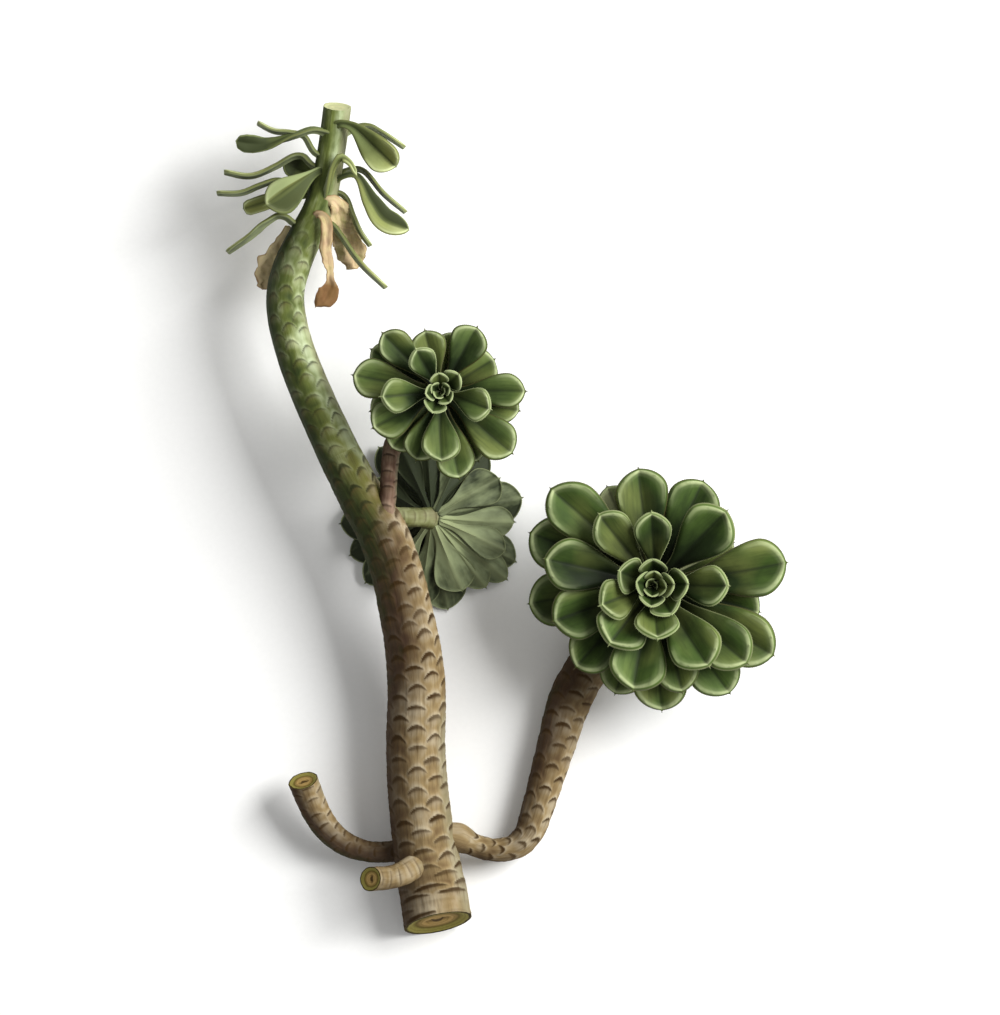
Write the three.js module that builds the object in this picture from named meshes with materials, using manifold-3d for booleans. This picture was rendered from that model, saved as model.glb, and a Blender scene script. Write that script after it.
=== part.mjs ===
// A cut branch of tree aeonium, lying on a surface with its best side turned up.
// Units are millimetres. +Z is up, and +Y runs along the stem from its cut foot to its cut top.
// The brown woody stem and its branches are one piece. The green top of the stem carries its
// last green leaves, and three withered ones hang by it. Three rosettes end the side branches:
// a large and a small one look up, and one looks down and props the stem up on its leaf tips.

import * as THREE from "three";
import { mergeVertices } from "three/addons/utils/BufferGeometryUtils.js";
import Module from "manifold-3d";

const wasm = await Module();
wasm.setup();

const RADIANS = Math.PI / 180;
const UP = new THREE.Vector3(0, 0, 1);

// Middle of the drawing's box, which the origin goes under
const BOX_MIDDLE = { x: -0.15, y: -0.05 };

// Gap between two pieces that meet face to face
const PIECE_GAP = 0.35;
const MERGE_DISTANCE = 1e-3;

// Main stem, foot first: x, y, z of the middle and the radius there
const MAIN_STEM = [
  [-32.2, -200.5, 16.2, 17.2],
  [-33.8, -190, 17, 17],
  [-36.3, -177, 18.8, 16.6],
  [-39.5, -158, 21, 15.7],
  [-41.8, -138, 23, 15.2],
  [-43, -112, 25.5, 14.8],
  [-42.6, -84, 29.3, 14.5],
  [-44.5, -64, 33, 14],
  [-48, -45, 37, 13.3],
  [-53, -24, 40.6, 12.8],
  [-60.5, -4, 43, 12.5],
  [-68.5, 9, 44, 11.6],
  [-76, 23, 44.6, 11],
  [-85, 41, 44.7, 10.6],
  [-93.5, 60, 45, 10.3],
  [-101.5, 80, 45, 9.9],
  [-106.5, 97.5, 45, 9.6],
  [-108, 112, 44.5, 9.4],
  [-105, 126, 43.7, 9.2],
  [-98, 141.5, 43.2, 8.6],
  [-91.5, 155, 43, 7.8],
  [-87.6, 169, 43, 7.2],
  [-84.8, 186, 43.5, 7],
  [-82, 206.5, 44.5, 7.1],
];
const WOODY_LENGTH = 246; // the brown part of the main stem, measured along it from the foot

const RIGHT_BRANCH = [
  [-35, -157, 22, 6.6],
  [-22, -160, 18, 6.3],
  [-12, -164.3, 15, 5.7],
  [-2, -166.3, 13, 5.9],
  [7, -164.5, 12, 6.4],
  [13.5, -158, 11.7, 7.2],
  [18, -146, 11.8, 7.9],
  [22.5, -131, 12, 8.6],
  [28, -112, 12, 9.8],
  [34.5, -91, 10.7, 11],
  [43, -75, 13.5, 11],
  [54, -60, 18, 10.2],
  [66, -45.5, 24, 9.2],
  [74, -36, 31, 8.6],
  [76.8, -31.8, 37, 8.4],
];
const LEFT_BRANCH = [
  [-42, -165, 18, 5.6],
  [-56, -167, 15.5, 5.3],
  [-67, -167, 14.5, 5.3],
  [-77, -164, 14.5, 5.9],
  [-86, -157.5, 16, 6.4],
  [-93, -147.5, 18, 6.9],
  [-99.7, -131, 22, 7.4],
];
const FRONT_STUB = [
  [-38, -171, 22, 6.6],
  [-43.5, -173.5, 31, 6.4],
  [-50, -177, 37, 6.2],
  [-57, -179, 39.2, 6],
  [-65.5, -179.5, 40.5, 6.2],
];
const TWIG = [
  [-59, -10, 40, 4.8],
  [-58, 2, 48, 4.6],
  [-56.5, 13, 51.3, 4.3],
  [-56, 24, 52, 4.3],
  [-54.5, 36, 52, 4.6],
  [-48.5, 48, 52.5, 4.8],
  [-40, 57.5, 54.5, 4.8],
  [-33, 62.5, 58, 4.7],
  [-30.6, 63.8, 62.5, 4.7],
];
const STALK = [
  [-60, 1, 41.5, 6],
  [-53, 1.3, 40.6, 5.8],
  [-46.5, 1.5, 38.8, 5.5],
  [-41, 1.5, 35.8, 5.4],
  [-37, 1.2, 31, 5.5],
  [-35.2, 1, 25, 5.6],
  [-34.8, 1, 19, 5.6],
];
const COLLAR_LENGTH = 15; // the woody part of the stalk, measured along it

// Directions that the cut faces look in
const CUT_FOOT = new THREE.Vector3(0.27, -0.89, 0.38);
const CUT_TOP = new THREE.Vector3(0.09, 0.94, 0.32);
const CUT_LEFT = new THREE.Vector3(-0.23, 0.8, 0.56);
const CUT_STUB = new THREE.Vector3(-0.72, 0.05, 0.69);
const CUT_REACH = 3; // a slanted cut is eased in over this many radii

// Old leaf scars: staggered cushions in columns, each ending in a ledge towards the stem's top
const TRUNK_BARK = { columns: 10, pitch: 11.4, ledge: 1.5 };
const GREEN_BARK = { columns: 7, pitch: 15, ledge: 0.9 };
const BRANCH_BARK = { columns: 6, pitch: 9, ledge: 1 };
const LEFT_BARK = { columns: 5, pitch: 9, ledge: 0.8 };
const TWIG_BARK = { columns: 4, pitch: 12, ledge: 0.5 };
const SMOOTH_BARK = { columns: 5, pitch: 10, ledge: 0 };
const RINGS_PER_PITCH = 3;
const LEDGE_PLACE = 2 / 3; // share of the pitch over which a cushion rises
const HOLLOW_SHARE = 0.4; // share of a ledge that lies inside the stem's listed radius

// Leaf blades: spoon shaped, folded along the midrib, with a keel below
const NECK_WIDTH = 0.26; // root width against the widest
const BELLY = 0.72; // the widest place, from root to tip
const MARGIN_RISE = 0.65; // height of the margin, as a share of the fold and half the width
const HALFWAY_RISE = 0.46; // the same halfway from the midrib to the margin
const BULGE = 0.3; // each half bulges by this much above its fold
const KEEL_TAPER = 0.45; // share of the thickness lost from root to tip
const FULL_STATIONS = [0, 0.3, 0.58, 0.8, 0.94];
const SMALL_STATIONS = [0, 0.4, 0.75];
const LONG_STATIONS = [0, 0.18, 0.38, 0.58, 0.78, 0.94];
const ROOT_HEIGHTS = 0.85; // the youngest leaves start this far up the core
const ROOT_SPREAD = 0.45; // the oldest leaves start this far out from the middle of the core
const MIDRIB_PARTS = 24;
const CORE_PROFILE = [[1, 0], [1, 0.25], [0.62, 0.75], [0.3, 1]]; // shares of radius and height
const CORE_SIDES = 10;

// Rosette leaves as the face shows them: azimuth, reach, width, and rank from 0, the youngest
// and steepest, to 1, the oldest and flattest
const LARGE_ROSETTE = {
  centre: [76.8, -31.8, 37.35],
  facing: 1,
  coreRadius: 8.4,
  coreHeight: 24,
  smallReach: 16,
  thickness: 2.4,
  fold: 0.42,
  rootPitch: [78, 12],
  tipPitch: [62, -14],
  leaves: [
    [60, 5, 6, 0],
    [170, 6, 7, 0.03],
    [275, 7.5, 8, 0.07],
    [30, 9, 9, 0.1],
    [150, 10, 10, 0.13],
    [265, 11, 12, 0.17],
    [97, 13.5, 13.5, 0.22],
    [2, 15.5, 16, 0.26],
    [294, 16, 16, 0.3],
    [160, 19.5, 19, 0.36],
    [271, 27, 22.5, 0.42],
    [199, 29.5, 21, 0.46],
    [93, 36, 19, 0.52],
    [357, 36, 20.5, 0.55],
    [233, 38, 27.5, 0.58],
    [131, 45, 21, 0.61],
    [301, 48.5, 27, 0.64],
    [46, 50.5, 28, 0.68],
    [318, 60, 26, 0.71],
    [167, 57, 26.5, 0.72],
    [256, 54, 29, 0.75],
    [201, 54.5, 27, 0.79],
    [285, 55.5, 22.5, 0.82],
    [136, 70.5, 27.5, 0.82],
    [330, 68.5, 27.5, 0.84],
    [101, 58, 27, 0.86],
    [7, 66, 29, 0.87],
    [65, 56.5, 27, 0.92],
    [224, 57.5, 25, 0.9],
    [157, 67.5, 28, 0.91],
    [188, 64, 27, 0.95],
    [302, 66, 26, 0.93],
    [251, 58.5, 24, 0.96],
    [271, 63.5, 27, 0.98],
    [346, 54, 25, 0.97],
    [118, 54, 20, 1],
    [86, 44, 20, 1],
    [26, 44, 18, 1],
  ],
};
const SMALL_ROSETTE = {
  centre: [-30.25, 63.8, 62.85],
  facing: 1,
  coreRadius: 4.7,
  coreHeight: 13,
  smallReach: 14,
  thickness: 2.2,
  fold: 0.42,
  rootPitch: [78, 14],
  tipPitch: [62, -16],
  leaves: [
    [59, 36.5, 19.5, 0.86],
    [30, 31, 20, 0.96],
    [2, 42, 17.5, 0.84],
    [344, 40, 16.5, 0.95],
    [319, 47, 21, 0.88],
    [283, 44, 19.5, 0.92],
    [269, 35, 19.5, 0.72],
    [250, 36, 18, 0.9],
    [210, 38, 20, 0.84],
    [193, 36, 16, 0.97],
    [169, 44, 20, 0.88],
    [151, 40, 16, 1],
    [135, 40.5, 19, 0.82],
    [103, 31, 17.5, 0.8],
    [78, 30, 15, 1],
    [341, 26.5, 17, 0.56],
    [187, 29.5, 17.5, 0.58],
    [121, 24, 14.5, 0.52],
    [249, 11.5, 12, 0.3],
    [40, 12.5, 12, 0.3],
    [95, 9, 9.5, 0.2],
    [190, 7.5, 8.5, 0.15],
    [310, 7.5, 9, 0.16],
    [20, 5, 6, 0.08],
    [230, 4, 5.5, 0],
  ],
};
const UNDER_ROSETTE = {
  centre: [-34.75, 1, 21.9],
  facing: -1,
  coreRadius: 5.8,
  coreHeight: 7,
  smallReach: 30,
  thickness: 2.2,
  fold: 0.3,
  rootPitch: [70, 9],
  tipPitch: [44, 10],
  leaves: [
    [355, 41, 16, 0.94],
    [338, 40, 16, 0.98],
    [290, 39.5, 21, 0.92],
    [33, 39, 20, 0.96],
    [66, 37, 15, 1],
    [95, 38, 13, 0.94],
    [113, 38, 13, 1],
    [148, 36, 14, 0.96],
    [198, 36, 15, 1],
    [236, 38, 15, 0.96],
    [12, 46, 21, 0.8],
    [334, 47, 18, 0.76],
    [320, 48.5, 15, 0.82],
    [308, 44, 16, 0.84],
    [281, 46.5, 22, 0.78],
    [262, 45, 18, 0.84],
    [222, 47, 17, 0.8],
    [203, 45.5, 16, 0.76],
    [184, 46.5, 18, 0.82],
    [128, 44.5, 16, 0.8],
    [86, 43, 16, 0.82],
    [50, 43, 17, 0.8],
    [160, 43, 16, 0.78],
    [0, 26, 15, 0.5],
    [137, 25, 15, 0.52],
    [250, 26, 15, 0.48],
    [75, 19, 12, 0.36],
    [200, 17, 12, 0.32],
    [310, 14, 10, 0.24],
    [30, 9, 8, 0.12],
    [190, 7, 7, 0.04],
  ],
};

// Leaves of the green top: the line of the midrib from inside the stem to the tip, the width,
// the thickness and the direction that the face looks in. The thin ones stand on edge.
const SHOOT_LEAVES = [
  {
    line: [[-86, 182, 44], [-92.3, 184.5, 45], [-98, 192.8, 46], [-105.8, 194.6, 46],
      [-113.3, 195.3, 46], [-121.5, 199.5, 45]],
    width: 13, thickness: 2.4, face: [0.3, 1, 0.15],
  },
  {
    line: [[-84, 193.5, 47], [-93.8, 195.5, 51], [-103.3, 192.3, 52], [-117.8, 187.4, 51],
      [-125.5, 188, 50], [-132.5, 189.5, 50]],
    width: 12, thickness: 2.4, face: [-0.1, 0.75, 0.66],
  },
  {
    line: [[-87, 175.5, 43], [-93.9, 178.7, 42], [-98.5, 183.2, 41], [-104, 183.3, 40],
      [-114.3, 177.7, 40], [-125.8, 173.2, 41], [-138.8, 175.3, 41]],
    width: 14, thickness: 2.6, face: [0.1, 1, 0.1],
  },
  {
    line: [[-88, 168, 40], [-96, 173, 36], [-103, 176.5, 35], [-109, 179.5, 35]],
    width: 13, thickness: 2.2, face: [0.3, 0.2, 0.9],
  },
  {
    line: [[-87, 176.5, 46], [-92, 174.3, 51.5], [-104, 166.5, 55], [-117.5, 157, 54]],
    width: 20, thickness: 2.6, face: [0.1, 0.45, 0.9],
  },
  {
    line: [[-89, 164, 40], [-101, 163, 36], [-114, 160.5, 35], [-129.5, 156, 36]],
    width: 11, thickness: 2.2, face: [0.1, -0.4, 0.9],
  },
  {
    line: [[-89, 167, 42], [-103.3, 169.6, 41], [-112.8, 171, 42], [-121.4, 168.2, 43],
      [-130.3, 164.6, 43], [-142.6, 164.6, 42]],
    width: 13, thickness: 2.5, face: [0, 1, 0.15],
  },
  {
    line: [[-95, 146.5, 43], [-103.3, 149.8, 44], [-107, 152.6, 45], [-112, 153.3, 45],
      [-117.8, 149.8, 45], [-125.3, 143.2, 44], [-138, 134.5, 43]],
    width: 14, thickness: 2.6, face: [0.3, 1, 0.1],
  },
  {
    line: [[-81, 193, 42], [-71, 198.2, 40], [-65.8, 198.3, 39], [-59.3, 194.8, 39],
      [-47.5, 187, 40]],
    width: 12, thickness: 2.4, face: [0.5, 1, 0.1],
  },
  {
    line: [[-82, 195, 46], [-77, 198.6, 51], [-71.3, 196, 53], [-61, 185.5, 53.5],
      [-51.5, 176, 51]],
    width: 19, thickness: 2.6, face: [0.25, 0.2, 0.95],
  },
  {
    line: [[-86, 170, 42], [-79, 175.5, 41], [-73, 176.8, 41], [-67.8, 175.2, 42],
      [-58, 163.8, 43], [-46.8, 154.3, 42]],
    width: 12, thickness: 2.3, face: [0.7, 0.7, 0.1],
  },
  {
    line: [[-87.5, 156.5, 45], [-85.6, 166, 52.5], [-83, 176, 56], [-79.5, 180.3, 57],
      [-75.5, 178, 57], [-72.3, 170.5, 56]],
    width: 11, thickness: 2.6, face: [0.8, 0.2, 0.5],
  },
  {
    line: [[-85, 167, 45], [-79.5, 171.3, 49], [-72.5, 172, 50.5], [-65, 158.5, 51],
      [-58.5, 149.3, 50], [-46.5, 144.3, 48]],
    width: 15, thickness: 2.5, face: [0.35, 0.35, 0.85],
  },
  {
    line: [[-87, 164, 43], [-80.3, 164.6, 43], [-76.4, 161.5, 43], [-73, 152.7, 43],
      [-69.3, 144.2, 43], [-64.3, 137.3, 43]],
    width: 11, thickness: 2.3, face: [0.9, 0.4, 0.1],
  },
  {
    line: [[-92, 150, 44], [-84, 148.8, 45], [-78.8, 142.6, 45.5], [-73, 133.7, 45.5],
      [-67.8, 127.2, 45.5], [-56.5, 116.5, 45]],
    width: 12, thickness: 2.4, face: [0.8, 0.6, 0.1],
  },
];
const SHOOT_FOLD = 0.3;

// Withered leaves, each hanging clear of the green ones
const WITHERED_LEAVES = [
  {
    line: [[-106, 147, 38.6], [-109.5, 139.5, 35.5], [-116.3, 127, 33.5], [-120, 115.5, 33.5]],
    width: 13, thickness: 1.6, face: [0.1, 0.1, 0.98],
  },
  {
    line: [[-90.2, 155, 53.3], [-89.3, 146, 54], [-88.2, 136.5, 53], [-85.4, 124.5, 50],
      [-85.6, 115.5, 48], [-92.5, 107.5, 49]],
    width: 9, thickness: 1.6, face: [0.3, 0.1, 0.95],
  },
  {
    line: [[-80, 159.5, 38], [-79.3, 151, 34.5], [-77, 138, 33], [-72.8, 125.5, 33]],
    width: 16, thickness: 1.6, face: [-0.2, 0.1, 0.95],
  },
];
const WITHERED_FOLD = 0.35;

// Closed solid from corner points and triangles, turned so that its faces point out
function solidOf(corners, triangles) {
  let volume = 0;
  for (const [a, b, c] of triangles) {
    volume += corners[a].dot(new THREE.Vector3().crossVectors(corners[b], corners[c]));
  }
  const faces = volume > 0 ? triangles : triangles.map(([a, b, c]) => [a, c, b]);
  const mesh = new wasm.Mesh({
    numProp: 3,
    vertProperties: new Float32Array(corners.flatMap((corner) => corner.toArray())),
    triVerts: new Uint32Array(faces.flat()),
  });
  return new wasm.Manifold(mesh);
}

// Closed skin over rings of the same number of corners, with the ends closed by a fan each;
// the last ring may be a single corner
function loft(rings) {
  const corners = rings.flat();
  const triangles = [];
  const count = rings[0].length;
  for (let ring = 0; ring + 1 < rings.length; ring += 1) {
    const start = ring * count;
    const single = rings[ring + 1].length === 1;
    for (let side = 0; side < count; side += 1) {
      const next = (side + 1) % count;
      if (single) {
        triangles.push([start + side, start + next, start + count]);
      } else {
        triangles.push([start + side, start + next, start + count + next]);
        triangles.push([start + side, start + count + next, start + count + side]);
      }
    }
  }
  closeEnd(triangles, 0, count, true);
  const last = rings[rings.length - 1];
  if (last.length > 1) {
    closeEnd(triangles, corners.length - count, count, false);
  }
  return solidOf(corners, triangles);
}

// Fan over one end ring
function closeEnd(triangles, start, count, reversed) {
  for (let side = 1; side + 1 < count; side += 1) {
    const fan = [start, start + side, start + side + 1];
    triangles.push(reversed ? fan.reverse() : fan);
  }
}

// Part of a vector square to a direction, at unit length
function squareTo(vector, direction) {
  return vector.clone().addScaledVector(direction, -vector.dot(direction)).normalize();
}

// Smooth line through listed middles, with the radius running along it
class StemLine {
  constructor(points) {
    const middles = points.map(([x, y, z]) => new THREE.Vector3(x, y, z));
    this.curve = new THREE.CatmullRomCurve3(middles, false, "centripetal");
    this.radii = points.map((point) => point[3]);
    this.length = this.curve.getLength();
  }

  radiusAt(share) {
    const place = this.curve.getUtoTmapping(share) * (this.radii.length - 1);
    const index = Math.min(Math.floor(place), this.radii.length - 2);
    return THREE.MathUtils.lerp(this.radii[index], this.radii[index + 1], place - index);
  }

  // Middle, direction, two square directions and radius at even steps between two lengths
  frames(from, to, step) {
    const count = Math.max(2, Math.round((to - from) / step));
    const frames = [];
    let side = null;
    for (let index = 0; index <= count; index += 1) {
      const along = from + ((to - from) * index) / count;
      const share = along / this.length;
      const direction = this.curve.getTangentAt(share);
      side = squareTo(side ?? UP, direction);
      frames.push({
        along,
        middle: this.curve.getPointAt(share),
        direction,
        side,
        across: new THREE.Vector3().crossVectors(direction, side),
        radius: this.radiusAt(share),
      });
    }
    return frames;
  }
}

// Height of the bark at a length along the stem and a column, where a half is between two
function barkHeight(bark, along, column) {
  const ridge = column % 1 === 0 ? 1 : 0;
  const stagger = (Math.floor(column) % 2) * 0.5;
  const phase = (along / bark.pitch + stagger) % 1;
  const rise = phase < LEDGE_PLACE ? phase / LEDGE_PLACE : (1 - phase) / (1 - LEDGE_PLACE);
  return bark.ledge * (ridge * rise - HOLLOW_SHARE);
}

// Stem between two lengths of its line, with leaf scars and its ends cut square or slanted
function stemSolid(line, bark, { from = 0, to = line.length, cutFrom, cutTo } = {}) {
  const frames = line.frames(from, to, bark.pitch / RINGS_PER_PITCH);
  const first = frames[0];
  const last = frames[frames.length - 1];
  const sides = bark.columns * 2;
  const rings = frames.map((frame) =>
    Array.from({ length: sides }, (_, side) => {
      const angle = (side / sides) * 2 * Math.PI;
      const out = frame.side.clone().multiplyScalar(Math.cos(angle));
      out.addScaledVector(frame.across, Math.sin(angle));
      const radius = frame.radius + barkHeight(bark, frame.along, side / 2);
      const corner = frame.middle.clone().addScaledVector(out, radius);
      corner.add(slantShift(out, radius, frame, first, cutFrom));
      return corner.add(slantShift(out, radius, frame, last, cutTo));
    }),
  );
  return loft(rings);
}

// How far a slanted cut at an end moves a corner along the stem
function slantShift(out, radius, frame, end, cut) {
  if (!cut) {
    return new THREE.Vector3();
  }
  const away = Math.abs(frame.along - end.along);
  const ease = Math.max(0, 1 - away / (CUT_REACH * end.radius));
  const slide = (-radius * ease * out.dot(cut)) / end.direction.dot(cut);
  return end.direction.clone().multiplyScalar(slide);
}

// Half the width of a leaf, as a share of its widest, from 0 at the root to 1 at the tip
function leafOutline(place) {
  if (place < BELLY) {
    return NECK_WIDTH + (1 - NECK_WIDTH) * THREE.MathUtils.smoothstep(place, 0, BELLY);
  }
  const past = (place - BELLY) / (1 - BELLY);
  return Math.sqrt(1 - past * past);
}

// Leaf blade along a midrib: a shallow trough with convex halves above and a keel below
function leafSolid(midrib, stations, { width, thickness, fold }) {
  const rings = stations.map((place) => {
    const { middle, direction, face } = midrib(place);
    const across = new THREE.Vector3().crossVectors(direction, face);
    const half = (width / 2) * leafOutline(place);
    const keel = thickness * (1 - KEEL_TAPER * place);
    const margin = MARGIN_RISE * fold * half;
    const halfway = HALFWAY_RISE * fold * half + BULGE;
    const at = (sideways, lift) =>
      middle.clone().addScaledVector(across, sideways).addScaledVector(face, lift);
    return [
      at(-half, margin),
      at(-half / 2, halfway),
      at(0, 0),
      at(half / 2, halfway),
      at(half, margin),
      at(0, -keel),
    ];
  });
  rings.push([midrib(1).middle]);
  return loft(rings);
}

// Midrib of a rosette leaf: an arc whose pitch changes evenly from root to tip
function rosetteMidrib(rosette, [azimuth, reach, , rank]) {
  const { lerp } = THREE.MathUtils;
  const outward = new THREE.Vector3(Math.cos(azimuth * RADIANS), Math.sin(azimuth * RADIANS), 0);
  const axis = UP.clone().multiplyScalar(rosette.facing);
  const root = rosette.coreRadius * ROOT_SPREAD * rank;
  const pitchAt = (place) =>
    lerp(lerp(...rosette.rootPitch, rank), lerp(...rosette.tipPitch, rank), place) * RADIANS;
  const run = [0];
  const rise = [0];
  for (let part = 0; part < MIDRIB_PARTS; part += 1) {
    const pitch = pitchAt((part + 0.5) / MIDRIB_PARTS);
    run.push(run[part] + Math.cos(pitch) / MIDRIB_PARTS);
    rise.push(rise[part] + Math.sin(pitch) / MIDRIB_PARTS);
  }
  const length = (reach - root) / run[MIDRIB_PARTS];
  const height = rosette.coreHeight * ROOT_HEIGHTS * (1 - rank) + rosette.thickness;
  return (place) => {
    const part = Math.round(place * MIDRIB_PARTS);
    const pitch = pitchAt(place);
    const middle = new THREE.Vector3(...rosette.centre)
      .addScaledVector(outward, root + run[part] * length)
      .addScaledVector(axis, height + rise[part] * length);
    const direction = outward.clone().multiplyScalar(Math.cos(pitch));
    direction.addScaledVector(axis, Math.sin(pitch));
    return { middle, direction, face: squareTo(axis, direction) };
  };
}

// Short rounded cone that the leaves of a rosette grow from
function coreSolid({ centre, facing, coreRadius, coreHeight, thickness }) {
  const rings = CORE_PROFILE.map(([radius, height]) =>
    Array.from({ length: CORE_SIDES }, (_, side) => {
      const angle = (side / CORE_SIDES) * 2 * Math.PI;
      const lift = facing * height * (coreHeight + thickness);
      return new THREE.Vector3(Math.cos(angle), Math.sin(angle), 0)
        .multiplyScalar(radius * coreRadius)
        .add(new THREE.Vector3(...centre))
        .addScaledVector(UP, lift);
    }),
  );
  return loft(rings);
}

// A rosette's leaves joined to its core
function rosetteSolid(rosette) {
  const leaves = rosette.leaves.map((leaf) => {
    const [, reach, width] = leaf;
    const stations = reach < rosette.smallReach ? SMALL_STATIONS : FULL_STATIONS;
    return leafSolid(rosetteMidrib(rosette, leaf), stations, { ...rosette, width });
  });
  return leaves.reduce((whole, leaf) => whole.add(leaf), coreSolid(rosette));
}

// Midrib of a free leaf along its listed line
function freeMidrib({ line, face }) {
  const curve = new THREE.CatmullRomCurve3(line.map((point) => new THREE.Vector3(...point)));
  const wanted = new THREE.Vector3(...face);
  return (place) => {
    const direction = curve.getTangentAt(place);
    return { middle: curve.getPointAt(place), direction, face: squareTo(wanted, direction) };
  };
}

function freeLeafSolid(leaf, fold) {
  return leafSolid(freeMidrib(leaf), LONG_STATIONS, { ...leaf, fold });
}

// Brown stem with everything woody that branches off it, flat where it lies on the surface
function woodyStem() {
  const trunk = stemSolid(new StemLine(MAIN_STEM), TRUNK_BARK, {
    to: WOODY_LENGTH,
    cutFrom: CUT_FOOT,
  });
  const right = stemSolid(new StemLine(RIGHT_BRANCH), BRANCH_BARK, { cutTo: UP });
  const left = stemSolid(new StemLine(LEFT_BRANCH), LEFT_BARK, { cutTo: CUT_LEFT });
  const stub = stemSolid(new StemLine(FRONT_STUB), TWIG_BARK, { cutTo: CUT_STUB });
  const twig = stemSolid(new StemLine(TWIG), TWIG_BARK, { cutTo: UP });
  const collar = stemSolid(new StemLine(STALK), SMOOTH_BARK, { to: COLLAR_LENGTH });
  const whole = trunk.add(right).add(left).add(stub).add(twig).add(collar);
  return whole.subtract(underSurface());
}

// Everything below the surface that the branch lies on, wider and deeper than any part of it
function underSurface() {
  const size = 600;
  const depth = 40;
  const corner = (x, y, z) => new THREE.Vector3((x * size) / 2, (y * size) / 2, z);
  const ring = (z) => [corner(-1, -1, z), corner(1, -1, z), corner(1, 1, z), corner(-1, 1, z)];
  return loft([ring(-depth), ring(0)]);
}

function greenShoot() {
  const line = new StemLine(MAIN_STEM);
  const stem = stemSolid(line, GREEN_BARK, { from: WOODY_LENGTH + PIECE_GAP, cutTo: CUT_TOP });
  const leaves = SHOOT_LEAVES.map((leaf) => freeLeafSolid(leaf, SHOOT_FOLD));
  return leaves.reduce((whole, leaf) => whole.add(leaf), stem);
}

function underRosette() {
  const stalk = stemSolid(new StemLine(STALK), SMOOTH_BARK, { from: COLLAR_LENGTH + PIECE_GAP });
  return rosetteSolid(UNDER_ROSETTE).add(stalk).subtract(underSurface());
}

// Triangles of a joined solid's outer skin, leaving out sealed hollows and loose scraps
function outerSkin(corners, triangles) {
  const groups = Array.from({ length: corners.length / 3 }, (_, corner) => corner);
  const groupOf = (corner) => {
    let group = corner;
    while (groups[group] !== group) {
      group = groups[group];
    }
    groups[corner] = group;
    return group;
  };
  const point = (corner) => new THREE.Vector3().fromArray(corners, corner * 3);
  const volumes = new Map();
  for (let slot = 0; slot < triangles.length; slot += 3) {
    const [a, b, c] = triangles.subarray(slot, slot + 3);
    groups[groupOf(b)] = groupOf(a);
    groups[groupOf(c)] = groupOf(a);
  }
  for (let slot = 0; slot < triangles.length; slot += 3) {
    const [a, b, c] = triangles.subarray(slot, slot + 3);
    const volume = point(a).dot(point(b).cross(point(c)));
    volumes.set(groupOf(a), (volumes.get(groupOf(a)) ?? 0) + volume);
  }
  const [outer] = [...volumes].reduce((best, entry) => (entry[1] > best[1] ? entry : best));
  return triangles.filter((_, slot) => groupOf(triangles[slot - (slot % 3)]) === outer);
}

// Geometry of a solid's corners and triangles, with corners closer than a micron merged
function geometryOf(corners, triangles) {
  const geometry = new THREE.BufferGeometry();
  geometry.setAttribute("position", new THREE.BufferAttribute(corners, 3));
  geometry.setIndex(new THREE.BufferAttribute(triangles, 1));
  return mergeVertices(geometry, MERGE_DISTANCE);
}

// Named mesh of a joined solid, in its own material
function pieceOf(name, solid, look) {
  const joined = solid.getMesh();
  const merged = geometryOf(joined.vertProperties, joined.triVerts);
  const clean = new wasm.Manifold(new wasm.Mesh({
    numProp: 3,
    vertProperties: merged.attributes.position.array,
    triVerts: new Uint32Array(merged.index.array),
  })).getMesh();
  const skin = outerSkin(clean.vertProperties, clean.triVerts);
  const geometry = geometryOf(clean.vertProperties, skin);
  geometry.translate(-BOX_MIDDLE.x, -BOX_MIDDLE.y, 0);
  const piece = new THREE.Mesh(geometry, new THREE.MeshStandardMaterial(look));
  piece.name = name;
  return piece;
}

const branch = new THREE.Group();
branch.add(
  pieceOf("woody_stem", woodyStem(), { color: 0x8a7256, roughness: 0.8 }),
  pieceOf("green_shoot", greenShoot(), { color: 0x7f9a5c, roughness: 0.55 }),
  pieceOf("rosette_large", rosetteSolid(LARGE_ROSETTE), { color: 0x4a6b36, roughness: 0.45 }),
  pieceOf("rosette_small", rosetteSolid(SMALL_ROSETTE), { color: 0x4a6b36, roughness: 0.45 }),
  pieceOf("rosette_under", underRosette(), { color: 0x7f9166, roughness: 0.5 }),
);
WITHERED_LEAVES.forEach((leaf, index) => {
  const solid = freeLeafSolid(leaf, WITHERED_FOLD);
  const look = { color: 0xb99567, roughness: 0.85 };
  branch.add(pieceOf(`withered_leaf_${index + 1}`, solid, look));
});

export default branch;
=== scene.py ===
"""Looks of a cut tree aeonium branch that lies on a pale surface, in metres with +Z up.

The branch has a scarred woody stem, a green leafy top with withered leaves, and three rosettes.
Stems are cylinders bent along the lines that the solids follow, with leaf scars as relief, and
leaves are spheres pressed into spoon shaped blades along their midribs.
"""

import logging
import math
from dataclasses import dataclass, replace
from enum import Enum
from functools import partial
from typing import Any, Callable, Sequence

import bmesh
import bpy
import numpy as np
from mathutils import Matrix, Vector, noise


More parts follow.
